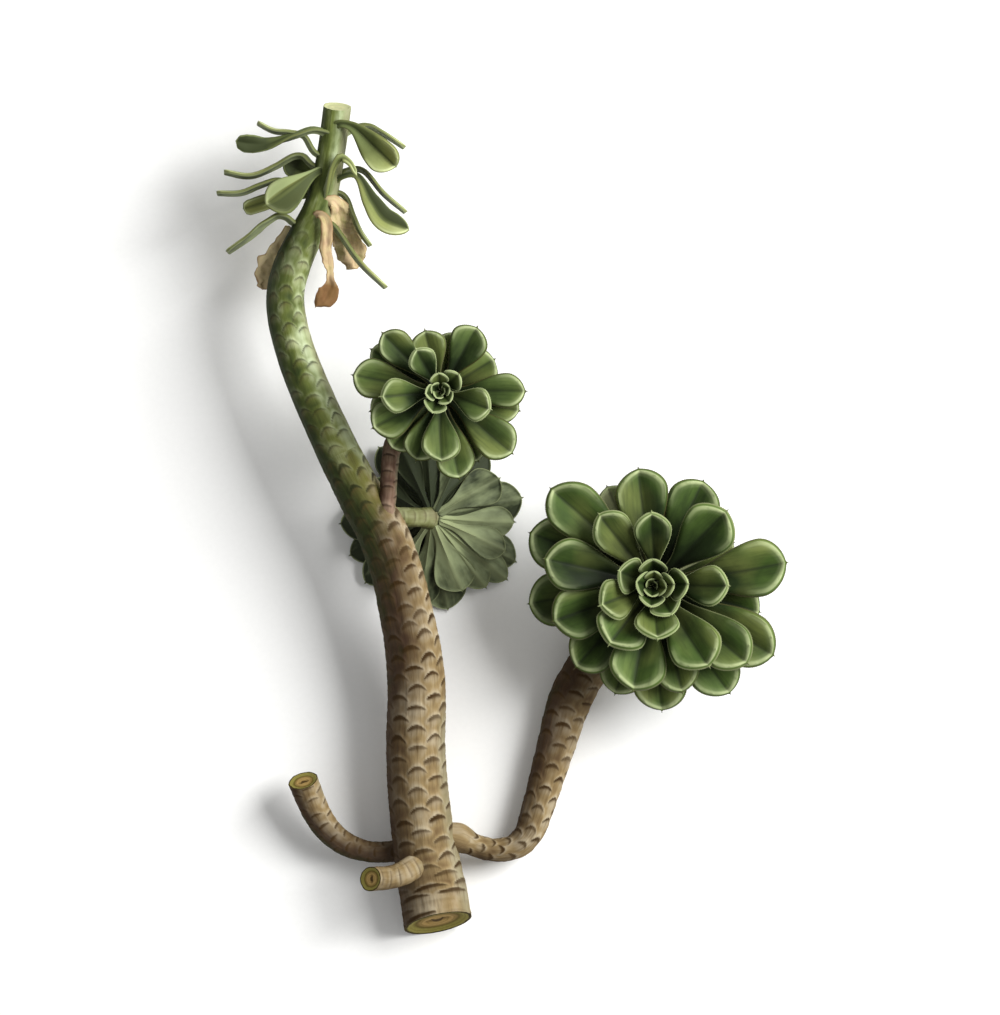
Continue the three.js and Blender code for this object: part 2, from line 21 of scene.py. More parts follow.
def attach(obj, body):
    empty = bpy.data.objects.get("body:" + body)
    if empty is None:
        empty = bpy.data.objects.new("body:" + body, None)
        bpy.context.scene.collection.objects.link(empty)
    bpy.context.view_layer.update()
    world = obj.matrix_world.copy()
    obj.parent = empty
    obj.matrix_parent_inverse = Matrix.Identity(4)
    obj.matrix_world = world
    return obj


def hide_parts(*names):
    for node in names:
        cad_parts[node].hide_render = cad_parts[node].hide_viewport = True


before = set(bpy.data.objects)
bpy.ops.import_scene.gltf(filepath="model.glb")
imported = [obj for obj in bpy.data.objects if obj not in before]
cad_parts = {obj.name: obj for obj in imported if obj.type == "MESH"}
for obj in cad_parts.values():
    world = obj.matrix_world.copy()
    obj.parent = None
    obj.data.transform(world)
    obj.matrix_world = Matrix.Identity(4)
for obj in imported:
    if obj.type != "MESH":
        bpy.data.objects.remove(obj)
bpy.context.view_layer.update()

log = logging.getLogger("aeonium")

MM = 0.001
BODY = "root"
SHIFT = np.array([0.15, 0.05, 0.0])  # from the drawing's middle to the part's origin, in mm
UP = np.array([0.0, 0.0, 1.0])

Array = np.ndarray
Point = tuple[float, ...]

# Stem lines, foot first: x, y, z of the middle and the radius there, in mm
MAIN_STEM: list[Point] = [
    (-31.9, -202.8, 16.1, 17.2),
    (-33.8, -190, 17, 17),
    (-36.3, -177, 18.8, 16.6),
    (-39.5, -158, 21, 15.7),
    (-41.8, -138, 23, 15.2),
    (-43, -112, 25.5, 14.8),
    (-42.6, -84, 29.3, 14.5),
    (-44.5, -64, 33, 14),
    (-48, -45, 37, 13.3),
    (-53, -24, 40.6, 12.8),
    (-60.5, -4, 43, 12.5),
    (-68.5, 9, 44, 11.6),
    (-76, 23, 44.6, 11),
    (-85, 41, 44.7, 10.6),
    (-93.5, 60, 45, 10.3),
    (-101.5, 80, 45, 9.9),
    (-106.5, 97.5, 45, 9.6),
    (-108, 112, 44.5, 9.4),
    (-105, 126, 43.7, 9.2),
    (-98, 141.5, 43.2, 8.6),
    (-91.5, 155, 43, 7.8),
    (-87.6, 169, 43, 7.2),
    (-84.8, 186, 43.5, 7),
    (-82, 206.5, 44.5, 7.1),
]
RIGHT_BRANCH: list[Point] = [
    (-35, -157, 22, 6.6),
    (-22, -160, 18, 6.3),
    (-12, -164.3, 15, 5.7),
    (-2, -166.3, 13, 5.9),
    (7, -164.5, 12, 6.4),
    (13.5, -158, 11.7, 7.2),
    (18, -146, 11.8, 7.9),
    (22.5, -131, 12, 8.6),
    (28, -112, 12, 9.8),
    (34.5, -91, 10.7, 11),
    (43, -75, 13.5, 11),
    (54, -60, 18, 10.2),
    (66, -45.5, 24, 9.2),
    (74, -36, 31, 8.6),
    (76.8, -31.8, 37, 8.4),
]
LEFT_BRANCH: list[Point] = [
    (-42, -165, 18, 5.6),
    (-56, -167, 15.5, 5.3),
    (-67, -167, 14.5, 5.3),
    (-77, -164, 14.5, 5.9),
    (-86, -157.5, 16, 6.4),
    (-93, -147.5, 18, 6.9),
    (-99.7, -131, 22, 7.4),
]
FRONT_STUB: list[Point] = [
    (-38, -171, 22, 6.6),
    (-43.5, -173.5, 31, 6.4),
    (-50, -177, 37, 6.2),
    (-57, -179, 39.2, 6),
    (-65.5, -179.5, 40.5, 6.2),
]
TWIG: list[Point] = [
    (-59, -10, 40, 4.8),
    (-58, 2, 48, 4.6),
    (-56.5, 13, 51.3, 4.3),
    (-56, 24, 52, 4.3),
    (-54.5, 36, 52, 4.6),
    (-48.5, 48, 52.5, 4.8),
    (-40, 57.5, 54.5, 4.8),
    (-33, 62.5, 58, 4.7),
    (-30.6, 63.8, 62.5, 4.7),
]
STALK: list[Point] = [
    (-60, 1, 41.5, 5.6),
    (-53, 1.3, 40, 5.2),
    (-46.5, 1.4, 37.5, 4.9),
    (-41.5, 1.3, 33.8, 4.8),
    (-37.6, 1.1, 29, 5),
    (-35.6, 1, 24, 5.3),
    (-34.8, 1, 19, 5.6),
]
WOODY_LENGTH = 246.0  # the brown part of the main stem, in mm along it
COLLAR_LENGTH = 15.0  # the woody part of the stalk
GREENING = (168.0, 285.0)  # the main stem turns green between these lengths
BARE = 1e6  # a length that no stem reaches
PAINTED_LIGHT_SIDE = np.array([0.93, 0.33, 0.17])  # the side of a stem that is painted lit; the far side is painted in shade
LOWEST = 0.05  # no stem or blade is lower than this above the board, in mm
MOST_TONE = 0.88  # how light a leaf that has not faded can be
SHARPEST_FOLD = 60.0  # degrees between faces of a leaf that are still shaded as one
SHARPEST_CRUMPLE = 70.0  # the same for a dried leaf

# Directions that the cut faces look in
CUT_FOOT = np.array([0.19, -0.89, 0.285])
CUT_TOP = np.array([0.09, 0.94, 0.32])
CUT_LEFT = np.array([-0.23, 0.8, 0.47])
CUT_STUB = np.array([-0.72, 0.05, 0.69])
CUT_REACH = 3.0  # a slanted cut is eased in over this many radii


def unit(vectors: Array) -> Array:
    """Scale vectors to length one.

    Args:
        vectors: One vector or rows of vectors.

    Returns:
        The same directions at length one.
    """
    return vectors / np.linalg.norm(vectors, axis=-1, keepdims=True)


def smoothstep(value: Array, low: float, high: float) -> Array:
    """Rise smoothly from 0 at low to 1 at high.

    Args:
        value: Numbers to place.
        low: Where the rise starts.
        high: Where it ends.

    Returns:
        Shares from 0 to 1.
    """
    share = np.clip((value - low) / (high - low), 0.0, 1.0)
    return share * share * (3.0 - 2.0 * share)


def square_to(vectors: Array, directions: Array) -> Array:
    """Take the part of vectors that is square to directions, at length one.

    Args:
        vectors: Rows of vectors.
        directions: Rows of unit vectors.

    Returns:
        Unit vectors square to the directions.
    """
    along = np.sum(vectors * directions, axis=-1, keepdims=True)
    return unit(vectors - along * directions)


def place_at(marks: Array, places: Array, lengths: Array) -> Array:
    """Find places along a line of samples, by straight steps from one to the next.

    Args:
        marks: Length at each sample.
        places: Place of each sample.
        lengths: Lengths to look up.

    Returns:
        A place for each length.
    """
    return np.stack([np.interp(lengths, marks, places[:, axis]) for axis in range(3)], 1)


class SmoothLine:
    """Centripetal curve through listed points, walked by its length."""

    STEPS = 60  # samples from one listed point to the next
    ASIDE = 0.25  # directions are taken between places this far before and after, in mm

    def __init__(self, points: Sequence[Point]) -> None:
        """Lay the curve through the points.

        Args:
            points: Places in mm, each with a radius after it where the line is a stem's.
        """
        rows = np.array(points, dtype=float)
        places = rows[:, :3] + SHIFT
        radii = rows[:, 3] if rows.shape[1] > 3 else np.zeros(len(rows))
        before = 2 * places[0] - places[1]
        after = 2 * places[-1] - places[-2]
        knots = np.vstack([before, places, after])
        shares = np.linspace(0.0, 1.0, self.STEPS, endpoint=False)
        stretches = [
            self._stretch(knots[index : index + 4], shares) for index in range(len(places) - 1)
        ]
        self.places = np.vstack([*stretches, places[-1:]])
        count = len(self.places)
        self.radii = np.interp(np.linspace(0, len(radii) - 1, count), range(len(radii)), radii)
        steps = np.linalg.norm(np.diff(self.places, axis=0), axis=1)
        self.marks = np.concatenate([[0.0], np.cumsum(steps)])
        self.length = float(self.marks[-1])

    @staticmethod
    def _stretch(knots: Array, shares: Array) -> Array:
        """Curve between the middle two of four knots.

        Args:
            knots: Four places.
            shares: Shares of the stretch, from 0 to 1.

        Returns:
            A place for each share.
        """
        first, start, end, last = knots
        gaps = [np.linalg.norm(b - a) ** 0.5 for a, b in zip(knots[:-1], knots[1:])]
        low, middle, high = gaps
        leave = (start - first) / low - (end - first) / (low + middle) + (end - start) / middle
        arrive = (end - start) / middle - (last - start) / (middle + high) + (last - end) / high
        leave = leave * middle
        arrive = arrive * middle
        share = shares[:, None]
        square = -3 * start + 3 * end - 2 * leave - arrive
        cube = 2 * start - 2 * end + leave + arrive
        return start + leave * share + square * share**2 + cube * share**3

    def at(self, lengths: Array) -> tuple[Array, Array, Array]:
        """Places, directions and radii at lengths along the line.

        Args:
            lengths: Lengths in mm from the start, which may run a little past either end.

        Returns:
            Places in mm, unit directions and radii in mm.
        """
        inside = np.clip(lengths, 0.0, self.length)
        places, ahead, behind = (
            place_at(self.marks, self.places, np.clip(inside + step, 0.0, self.length))
            for step in (0.0, self.ASIDE, -self.ASIDE)
        )
        directions = unit(ahead - behind)
        places = places + (lengths - inside)[:, None] * directions
        return places, directions, np.interp(inside, self.marks, self.radii)


def hex_colour(code: str) -> tuple[float, float, float, float]:
    """Turn an sRGB hex colour to a linear one.

    Args:
        code: Six hex digits after a hash sign.

    Returns:
        Linear red, green, blue and a full alpha.
    """
    parts = [int(code[index : index + 2], 16) / 255 for index in (1, 3, 5)]
    red, green, blue = (
        part / 12.92 if part <= 0.04045 else ((part + 0.055) / 1.055) ** 2.4 for part in parts
    )
    return (red, green, blue, 1.0)


def add_node(
    tree: bpy.types.NodeTree,
    kind: str,
    output: str | int | None,
    inputs: dict[str | int, Any] | None = None,
    stops: Sequence[tuple[float, float | str]] = (),
    **settings: Any,
) -> bpy.types.NodeSocket | None:
    """Add a shader node with its settings and links.

    Args:
        tree: Node tree that takes the node.
        kind: Blender's type name of the node.
        output: Name or number of the output that is handed back.
        inputs: For each socket, a value, a hex colour or the output socket that feeds it.
        stops: Places and hex colours or greys, for a colour ramp.
        **settings: Properties of the node.

    Returns:
        The named output, or nothing where there is none.
    """
    made = tree.nodes.new(kind)
    for name, value in settings.items():
        setattr(made, name, value)
    for name, value in (inputs or {}).items():
        if isinstance(value, bpy.types.NodeSocket):
            tree.links.new(value, made.inputs[name])
        else:
            made.inputs[name].default_value = hex_colour(value) if isinstance(value, str) else value
    for index, (place, tint) in enumerate(stops):
        marks = made.color_ramp.elements
        mark = marks[index] if index < 2 else marks.new(place)
        mark.position = place
        mark.color = hex_colour(tint) if isinstance(tint, str) else (tint, tint, tint, 1.0)
    return None if output is None else made.outputs[output]


@dataclass(frozen=True)
class Finish:
    """A surface as it grew or was made, with its node tree."""

    name: str

    def make(self) -> bpy.types.Material:
        """Build the material.

        Returns:
            The material, with its surface linked.
        """
        material = bpy.data.materials.new(self.name)
        material.use_nodes = True
        material.node_tree.nodes.clear()
        add = partial(add_node, material.node_tree)
        surface = add("ShaderNodeBsdfPrincipled", 0, self.paint(add))
        add("ShaderNodeOutputMaterial", None, {"Surface": surface})
        return material

    def paint(self, add: Callable[..., Any]) -> dict[str, Any]:
        """Lay out the nodes.

        Args:
            add: Adds a node to the tree.

        Returns:
            The shader's inputs.
        """
        raise NotImplementedError


@dataclass(frozen=True)
class LeafFinish(Finish):
    """Thick aeonium leaf: a waxy skin over green flesh, satin with soft broad highlights.

    A pale crest, a painted highlight, runs inside the margin, the margin is fringed, and the midrib
    is a dark crease of painted shade.
    """

    name: str = "aeonium_leaf_skin"
    # The root colour is painted shade: at a leaf's root, and on a margin whose tone is low
    root: str = "#090d05"
    deep: str = "#1d2911"
    middle: str = "#3c4f21"
    light: str = "#61773b"
    warm: str = "#69713a"
    outer: str = "#4c6029"
    # The crest colour is a painted highlight
    crest: str = "#a4ae80"
    young_edge: str = "#9da877"
    old_edge: str = "#3f3a1c"
    crease_shade: str = "#11180a"
    back: str = "#7d8663"
    back_deep_and_shade: str = "#2c3221"
    back_pale_and_highlight: str = "#8b936c"
    faded_and_lit_pale: str = "#bcc093"
    roughness: float = 0.6
    gloss: float = 0.1
    grain_depth: float = 0.1 * MM

    def paint(self, add: Callable[..., Any]) -> dict[str, Any]:
        """Lay out the nodes.

        Args:
            add: Adds a node to the tree.

        Returns:
            The shader's inputs.
        """
        place = add("ShaderNodeAttribute", "Vector", attribute_name="leaf_place")
        along, rim, crest, mid, tone, top, age = (
            add("ShaderNodeAttribute", "Fac", attribute_name=f"leaf_{name}")
            for name in ("along", "rim", "crest", "mid", "tone", "top", "age")
        )
        # Veins about 1.2 mm apart along the leaf, and patches about 8 mm wide
        fine = add("ShaderNodeMapping", 0, {"Vector": place, "Scale": (0.8, 0.06, 1.0)})
        veins = add("ShaderNodeTexNoise", 0, {"Vector": fine, "Scale": 1.0, "Detail": 4.0})
        broad = add("ShaderNodeMapping", 0, {"Vector": place, "Scale": (0.13, 0.07, 1.0)})
        patches = add("ShaderNodeTexNoise", 0, {"Vector": broad, "Scale": 1.0, "Detail": 3.0})
        # Lightness grows towards the tip and away from the midrib and differs by leaf and by patch;
        # painted shade darkens the root to near black, and the tone carries painted light as well
        # as random tone
        light = add("ShaderNodeMath", 0, {0: patches, 1: 0.5, 2: -0.37}, operation="MULTIPLY_ADD")
        light = add("ShaderNodeMath", 0, {0: tone, 1: 0.3, 2: light}, operation="MULTIPLY_ADD")
        light = add("ShaderNodeMath", 0, {0: along, 1: 0.7, 2: light}, operation="MULTIPLY_ADD")
        light = add("ShaderNodeMath", 0, {0: mid, 1: 0.16, 2: light}, operation="MULTIPLY_ADD")
        face = add(
            "ShaderNodeValToRGB",
            "Color",
            {"Fac": light},
            ((0.12, self.root), (1.0, self.light), (0.42, self.deep), (0.7, self.middle)),
        )
        # Some leaves, or halves of them, are a warmer olive
        large = add("ShaderNodeMapping", 0, {"Vector": place, "Scale": (0.05, 0.03, 1.7)})
        olive = add("ShaderNodeTexNoise", 0, {"Vector": large, "Scale": 1.0, "Detail": 1.0})
        olive = add("ShaderNodeValToRGB", "Color", {"Fac": olive}, ((0.48, 0.0), (0.68, 1.0)))
        olive = add("ShaderNodeMath", 0, {0: olive, 1: light}, operation="MULTIPLY", use_clamp=True)
        face = add("ShaderNodeMix", 2, {0: olive, 6: face, 7: self.warm}, data_type="RGBA")
        vein = add("ShaderNodeValToRGB", "Color", {"Fac": veins}, ((0.48, 0.0), (0.72, 0.35)))
        face = add("ShaderNodeMix", 2, {0: vein, 6: face, 7: self.deep}, data_type="RGBA")
        # A few old leaves behind the others have faded, and the same pale is painted light on a
        # half whose tone is lifted past the usual
        faded_and_lit_pale = add("ShaderNodeValToRGB", "Color", {"Fac": tone}, ((0.9, 0.0), (1.0, 0.85)))
        face = add("ShaderNodeMix", 2, {0: faded_and_lit_pale, 6: face, 7: self.faded_and_lit_pale}, data_type="RGBA")
        # Painted shade in the crease along the midrib, about a millimetre wide
        crease_shade = add("ShaderNodeValToRGB", "Color", {"Fac": mid}, ((0.0, 0.65), (0.13, 0.0)))
        face = add("ShaderNodeMix", 2, {0: crease_shade, 6: face, 7: self.crease_shade}, data_type="RGBA")
        # Painted shade: where the tone is low the leaf is dark, with no pale crest or margin
        lit = add(
            "ShaderNodeMath", 0, {0: tone, 1: 2.0, 2: 1.0}, operation="MULTIPLY_ADD", use_clamp=True
        )
        face = add("ShaderNodeMix", 2, {0: lit, 6: self.crease_shade, 7: face}, data_type="RGBA")
        # Green outside the crest and a pale painted highlight on it, but only on the wide part of
        # the leaf and where it is lit
        wide = add("ShaderNodeValToRGB", "Color", {"Fac": along}, ((0.64, 0.0), (0.97, 1.0)))
        outside = add("ShaderNodeValToRGB", "Color", {"Fac": crest}, ((0.15, 0.9), (0.26, 0.0)))
        outside = add("ShaderNodeMath", 0, {0: outside, 1: wide}, operation="MULTIPLY")
        face = add("ShaderNodeMix", 2, {0: outside, 6: face, 7: self.outer}, data_type="RGBA")
        crest_highlight = add(
            "ShaderNodeValToRGB",
            "Color",
            {"Fac": crest},
            ((0.13, 0.0), (0.8, 0.0), (0.2, 0.95), (0.36, 0.9), (0.5, 0.22)),
        )
        uneven = add("ShaderNodeValToRGB", "Color", {"Fac": patches}, ((0.3, 0.45), (0.6, 1.0)))
        crest_highlight = add("ShaderNodeMath", 0, {0: crest_highlight, 1: uneven}, operation="MULTIPLY")
        crest_highlight = add("ShaderNodeMath", 0, {0: crest_highlight, 1: wide}, operation="MULTIPLY")
        crest_highlight = add("ShaderNodeMath", 0, {0: crest_highlight, 1: lit}, operation="MULTIPLY")
        face = add("ShaderNodeMix", 2, {0: crest_highlight, 6: face, 7: self.crest}, data_type="RGBA")
        # The underside is greyer, in painted shade where its tone is low, with a pale painted
        # highlight at the root and along the spine where its tone is high
        shade = add("ShaderNodeMath", 0, {0: tone, 1: -0.4, 2: patches}, operation="MULTIPLY_ADD")
        shade = add("ShaderNodeMath", 0, {0: veins, 1: 0.15, 2: shade}, operation="MULTIPLY_ADD")
        stops = ((0.14, self.back), (0.5, self.back_deep_and_shade))
        back = add("ShaderNodeValToRGB", "Color", {"Fac": shade}, stops)
        neck = add("ShaderNodeValToRGB", "Color", {"Fac": along}, ((0.1, 1.0), (0.6, 0.0)))
        neck = add("ShaderNodeMath", 0, {0: neck, 1: tone}, operation="MULTIPLY", use_clamp=True)
        back = add("ShaderNodeMix", 2, {0: neck, 6: back, 7: self.back_pale_and_highlight}, data_type="RGBA")
        spine = add("ShaderNodeValToRGB", "Color", {"Fac": mid}, ((0.0, 0.7), (0.3, 0.0)))
        spine = add("ShaderNodeMath", 0, {0: spine, 1: tone}, operation="MULTIPLY", use_clamp=True)
        back = add("ShaderNodeMix", 2, {0: spine, 6: back, 7: self.back_pale_and_highlight}, data_type="RGBA")
        colour = add("ShaderNodeMix", 2, {0: top, 6: back, 7: face}, data_type="RGBA")
        # The margin is pale on a young leaf, and brown on an old one
        stops = ((0.45, self.young_edge), (0.85, self.old_edge))
        edge = add("ShaderNodeValToRGB", "Color", {"Fac": age}, stops)
        margin = add("ShaderNodeValToRGB", "Color", {"Fac": rim}, ((0.02, 0.9), (0.07, 0.0)))
        rear = add("ShaderNodeMix", 2, {0: wide, 6: back, 7: self.back_pale_and_highlight}, data_type="RGBA")
        # Painted shade: where the tone is low the margin takes the root's dark colour
        edge = add("ShaderNodeMix", 2, {0: lit, 6: self.root, 7: edge}, data_type="RGBA")
        edge = add("ShaderNodeMix", 2, {0: top, 6: rear, 7: edge}, data_type="RGBA")
        colour = add("ShaderNodeMix", 2, {0: margin, 6: colour, 7: edge}, data_type="RGBA")
        bump = add("ShaderNodeBump", 0, {"Height": veins, "Distance": self.grain_depth})
        return {
            "Base Color": colour,
            "Roughness": self.roughness,
            "Specular IOR Level": self.gloss,
            "Normal": bump,
        }


@dataclass(frozen=True)
class BarkFinish(Finish):
    """Young bark: dry cork in long fine cracks, matt, with a dark crescent at each leaf scar.

    Where a stem turns green the cork gives way to smooth skin. Light and shade are painted in as
    well: a dark side, darker stretches, paler cushions, shade below scars, a pale sheen and a grey
    rim light.
    """

    name: str = "aeonium_bark"
    pale: str = "#a2957b"
    middle: str = "#867350"
    dark: str = "#665236"
    crack: str = "#4d3a1f"
    scar: str = "#35240c"
    green_scar: str = "#22280f"
    shaded: str = "#33231a"
    shaded_green: str = "#1e2a12"
    painted_rim_light: str = "#7d7a60"
    olive: str = "#706b33"
    green: str = "#667036"
    deep_green: str = "#3d4920"
    sage: str = "#a7b083"
    painted_sheen: str = "#b3bf9b"
    roughness: float = 0.8
    gloss: float = 0.12
    grain_depth: float = 0.3 * MM

    def paint(self, add: Callable[..., Any]) -> dict[str, Any]:
        """Lay out the nodes.

        Args:
            add: Adds a node to the tree.

        Returns:
            The shader's inputs.
        """
        place = add("ShaderNodeAttribute", "Vector", attribute_name="bark_place")
        young, cushion, scar, shade, fibre, sun = (
            add("ShaderNodeAttribute", "Fac", attribute_name=f"bark_{name}")
            for name in ("green", "cushion", "scar", "shade", "fibre", "sun")
        )
        # Cracks about 1.2 mm apart along the stem, and patches about 11 mm wide
        fine = add("ShaderNodeMapping", 0, {"Vector": place, "Scale": (0.9, 0.9, 0.08)})
        cracks = add("ShaderNodeTexNoise", 0, {"Vector": fine, "Scale": 1.0, "Detail": 5.0})
        broad = add("ShaderNodeMapping", 0, {"Vector": place, "Scale": (0.1, 0.1, 0.05)})
        patches = add("ShaderNodeTexNoise", 0, {"Vector": broad, "Scale": 1.0, "Detail": 4.0})
        # Painted light: cushions are painted lighter than the hollows between them
        light = add(
            "ShaderNodeMath", 0, {0: cushion, 1: 0.22, 2: patches}, operation="MULTIPLY_ADD"
        )
        cork = add(
            "ShaderNodeValToRGB",
            "Color",
            {"Fac": light},
            ((0.34, self.dark), (0.74, self.pale), (0.52, self.middle)),
        )
        skin = add(
            "ShaderNodeValToRGB",
            "Color",
            {"Fac": light},
            ((0.34, self.deep_green), (0.78, self.sage), (0.54, self.green)),
        )
        olive = add("ShaderNodeValToRGB", "Color", {"Fac": young}, ((0.4, 1.0), (1.0, 0.0)))
        skin = add("ShaderNodeMix", 2, {0: olive, 6: skin, 7: self.olive}, data_type="RGBA")
        # The green shows first between the patches of cork, and on the side painted in shade
        turned = add("ShaderNodeMath", 0, {0: patches, 1: -0.6, 2: young}, operation="MULTIPLY_ADD")
        turned = add("ShaderNodeMath", 0, {0: sun, 1: -0.5, 2: turned}, operation="MULTIPLY_ADD")
        turned = add("ShaderNodeMath", 0, {0: turned, 1: 0.28}, operation="ADD")
        turned = add("ShaderNodeValToRGB", "Color", {"Fac": turned}, ((0.0, 0.0), (0.2, 1.0)))
        colour = add("ShaderNodeMix", 2, {0: turned, 6: cork, 7: skin}, data_type="RGBA")
        # Painted highlight: a pale band on green skin towards its lit side
        painted_sheen = add(
            "ShaderNodeValToRGB", "Color", {"Fac": sun}, ((0.6, 0.0), (0.95, 0.0), (0.8, 0.8))
        )
        painted_sheen = add("ShaderNodeMath", 0, {0: painted_sheen, 1: young}, operation="MULTIPLY")
        uneven = add("ShaderNodeValToRGB", "Color", {"Fac": light}, ((0.42, 0.0), (0.7, 1.0)))
        painted_sheen = add("ShaderNodeMath", 0, {0: painted_sheen, 1: uneven}, operation="MULTIPLY")
        colour = add("ShaderNodeMix", 2, {0: painted_sheen, 6: colour, 7: self.painted_sheen}, data_type="RGBA")
        # Painted shade: the side away from the light, and the stretches listed along the stem, are
        # dark
        painted_side_shade = add("ShaderNodeMath", 0, {0: patches, 1: 0.4, 2: sun}, operation="MULTIPLY_ADD")
        painted_side_shade = add("ShaderNodeValToRGB", "Color", {"Fac": painted_side_shade}, ((0.3, 0.92), (0.87, 0.0)))
        dark = add(
            "ShaderNodeMix", 2, {0: turned, 6: self.shaded, 7: self.shaded_green}, data_type="RGBA"
        )
        colour = add("ShaderNodeMix", 2, {0: painted_side_shade, 6: colour, 7: dark}, data_type="RGBA")
        # A grey painted rim light on the most lit strip, and cracks that are boldest under the
        # scars
        rim_light_share = add("ShaderNodeValToRGB", "Color", {"Fac": sun}, ((0.86, 0.0), (0.96, 0.6)))
        colour = add("ShaderNodeMix", 2, {0: rim_light_share, 6: colour, 7: self.painted_rim_light}, data_type="RGBA")
        crack = add("ShaderNodeValToRGB", "Color", {"Fac": cracks}, ((0.5, 0.0), (0.68, 0.7)))
        strong = add("ShaderNodeMath", 0, {0: fibre, 1: 0.6, 2: 0.4}, operation="MULTIPLY_ADD")
        strong = add("ShaderNodeMath", 0, {0: young, 1: -0.35, 2: strong}, operation="MULTIPLY_ADD")
        crack = add(
            "ShaderNodeMath", 0, {0: crack, 1: strong}, operation="MULTIPLY", use_clamp=True
        )
        colour = add("ShaderNodeMix", 2, {0: crack, 6: colour, 7: self.crack}, data_type="RGBA")
        # Painted shade just below each scar
        under = add("ShaderNodeMath", 0, {0: shade, 1: 0.45}, operation="MULTIPLY")
        colour = add("ShaderNodeMix", 2, {0: under, 6: colour, 7: self.crack}, data_type="RGBA")
        mark = add(
            "ShaderNodeMix", 2, {0: turned, 6: self.scar, 7: self.green_scar}, data_type="RGBA"
        )
        colour = add("ShaderNodeMix", 2, {0: scar, 6: colour, 7: mark}, data_type="RGBA")
        rough = add(
            "ShaderNodeMath", 0, {0: young, 1: -0.2, 2: self.roughness}, operation="MULTIPLY_ADD"
        )
        bump = add("ShaderNodeBump", 0, {"Height": cracks, "Distance": self.grain_depth})
        return {
            "Base Color": colour,
            "Roughness": rough,
            "Specular IOR Level": self.gloss,
            "Normal": bump,
        }


@dataclass(frozen=True)
class CutFinish(Finish):
    """Cut across a soft stem: dark skin, a moist yellow-green rim, dry wood and a pith slit."""

    name: str = "cut_stem_face"
    skin: str = "#2a220c"
    rim: str = "#877f42"
    inner: str = "#5e5023"
    wood: str = "#a08450"
    pith: str = "#33240f"
    fresh: str = "#bcc093"
    roughness: float = 0.8
    gloss: float = 0.05
    grain_depth: float = 0.2 * MM

    def paint(self, add: Callable[..., Any]) -> dict[str, Any]:
        """Lay out the nodes.

        Args:
            add: Adds a node to the tree.

        Returns:
            The shader's inputs.
        """
        face = add("ShaderNodeAttribute", "Vector", attribute_name="cut_place")
        young = add("ShaderNodeAttribute", "Fac", attribute_name="bark_green")
        place = add("ShaderNodeTexCoord", "Object")
        # Pores about 1.1 mm apart
        pores = add("ShaderNodeTexNoise", 0, {"Vector": place, "Scale": 900.0, "Detail": 4.0})
        flat = add("ShaderNodeVectorMath", 0, {0: face, 1: (1.0, 1.0, 0.0)}, operation="MULTIPLY")
        spread = add("ShaderNodeVectorMath", "Value", {0: flat}, operation="LENGTH")
        spread = add("ShaderNodeMath", 0, {0: pores, 1: 0.1, 2: spread}, operation="MULTIPLY_ADD")
        colour = add(
            "ShaderNodeValToRGB",
            "Color",
            {"Fac": spread},
            (
                (0.1, self.wood),
                (0.99, self.skin),
                (0.5, self.wood),
                (0.68, self.inner),
                (0.84, self.rim),
                (0.93, self.rim),
            ),
        )
        # Growth rings, a sixth of the radius apart
        ring = add("ShaderNodeMath", 0, {0: spread, 1: 38.0}, operation="MULTIPLY")
        ring = add("ShaderNodeMath", 0, {0: ring}, operation="SINE")
        ring = add("ShaderNodeValToRGB", "Color", {"Fac": ring}, ((0.3, 0.0), (1.0, 0.4)))
        colour = add("ShaderNodeMix", 2, {0: ring, 6: colour, 7: self.inner}, data_type="RGBA")
        # Pith slit, twice as long as it is wide
        slit = add("ShaderNodeVectorMath", 0, {0: face, 1: (1.0, 0.45, 0.0)}, operation="MULTIPLY")
        slit = add("ShaderNodeVectorMath", "Value", {0: slit}, operation="LENGTH")
        slit = add("ShaderNodeValToRGB", "Color", {"Fac": slit}, ((0.08, 0.9), (0.2, 0.0)))
        colour = add("ShaderNodeMix", 2, {0: slit, 6: colour, 7: self.pith}, data_type="RGBA")
        # On the green stem the whole cut is fresh and pale
        fresh = add("ShaderNodeMath", 0, {0: young, 1: 0.8}, operation="MULTIPLY")
        colour = add("ShaderNodeMix", 2, {0: fresh, 6: colour, 7: self.fresh}, data_type="RGBA")
        bump = add("ShaderNodeBump", 0, {"Height": pores, "Distance": self.grain_depth})
        return {
            "Base Color": colour,
            "Roughness": self.roughness,
            "Specular IOR Level": self.gloss,
            "Normal": bump,
        }


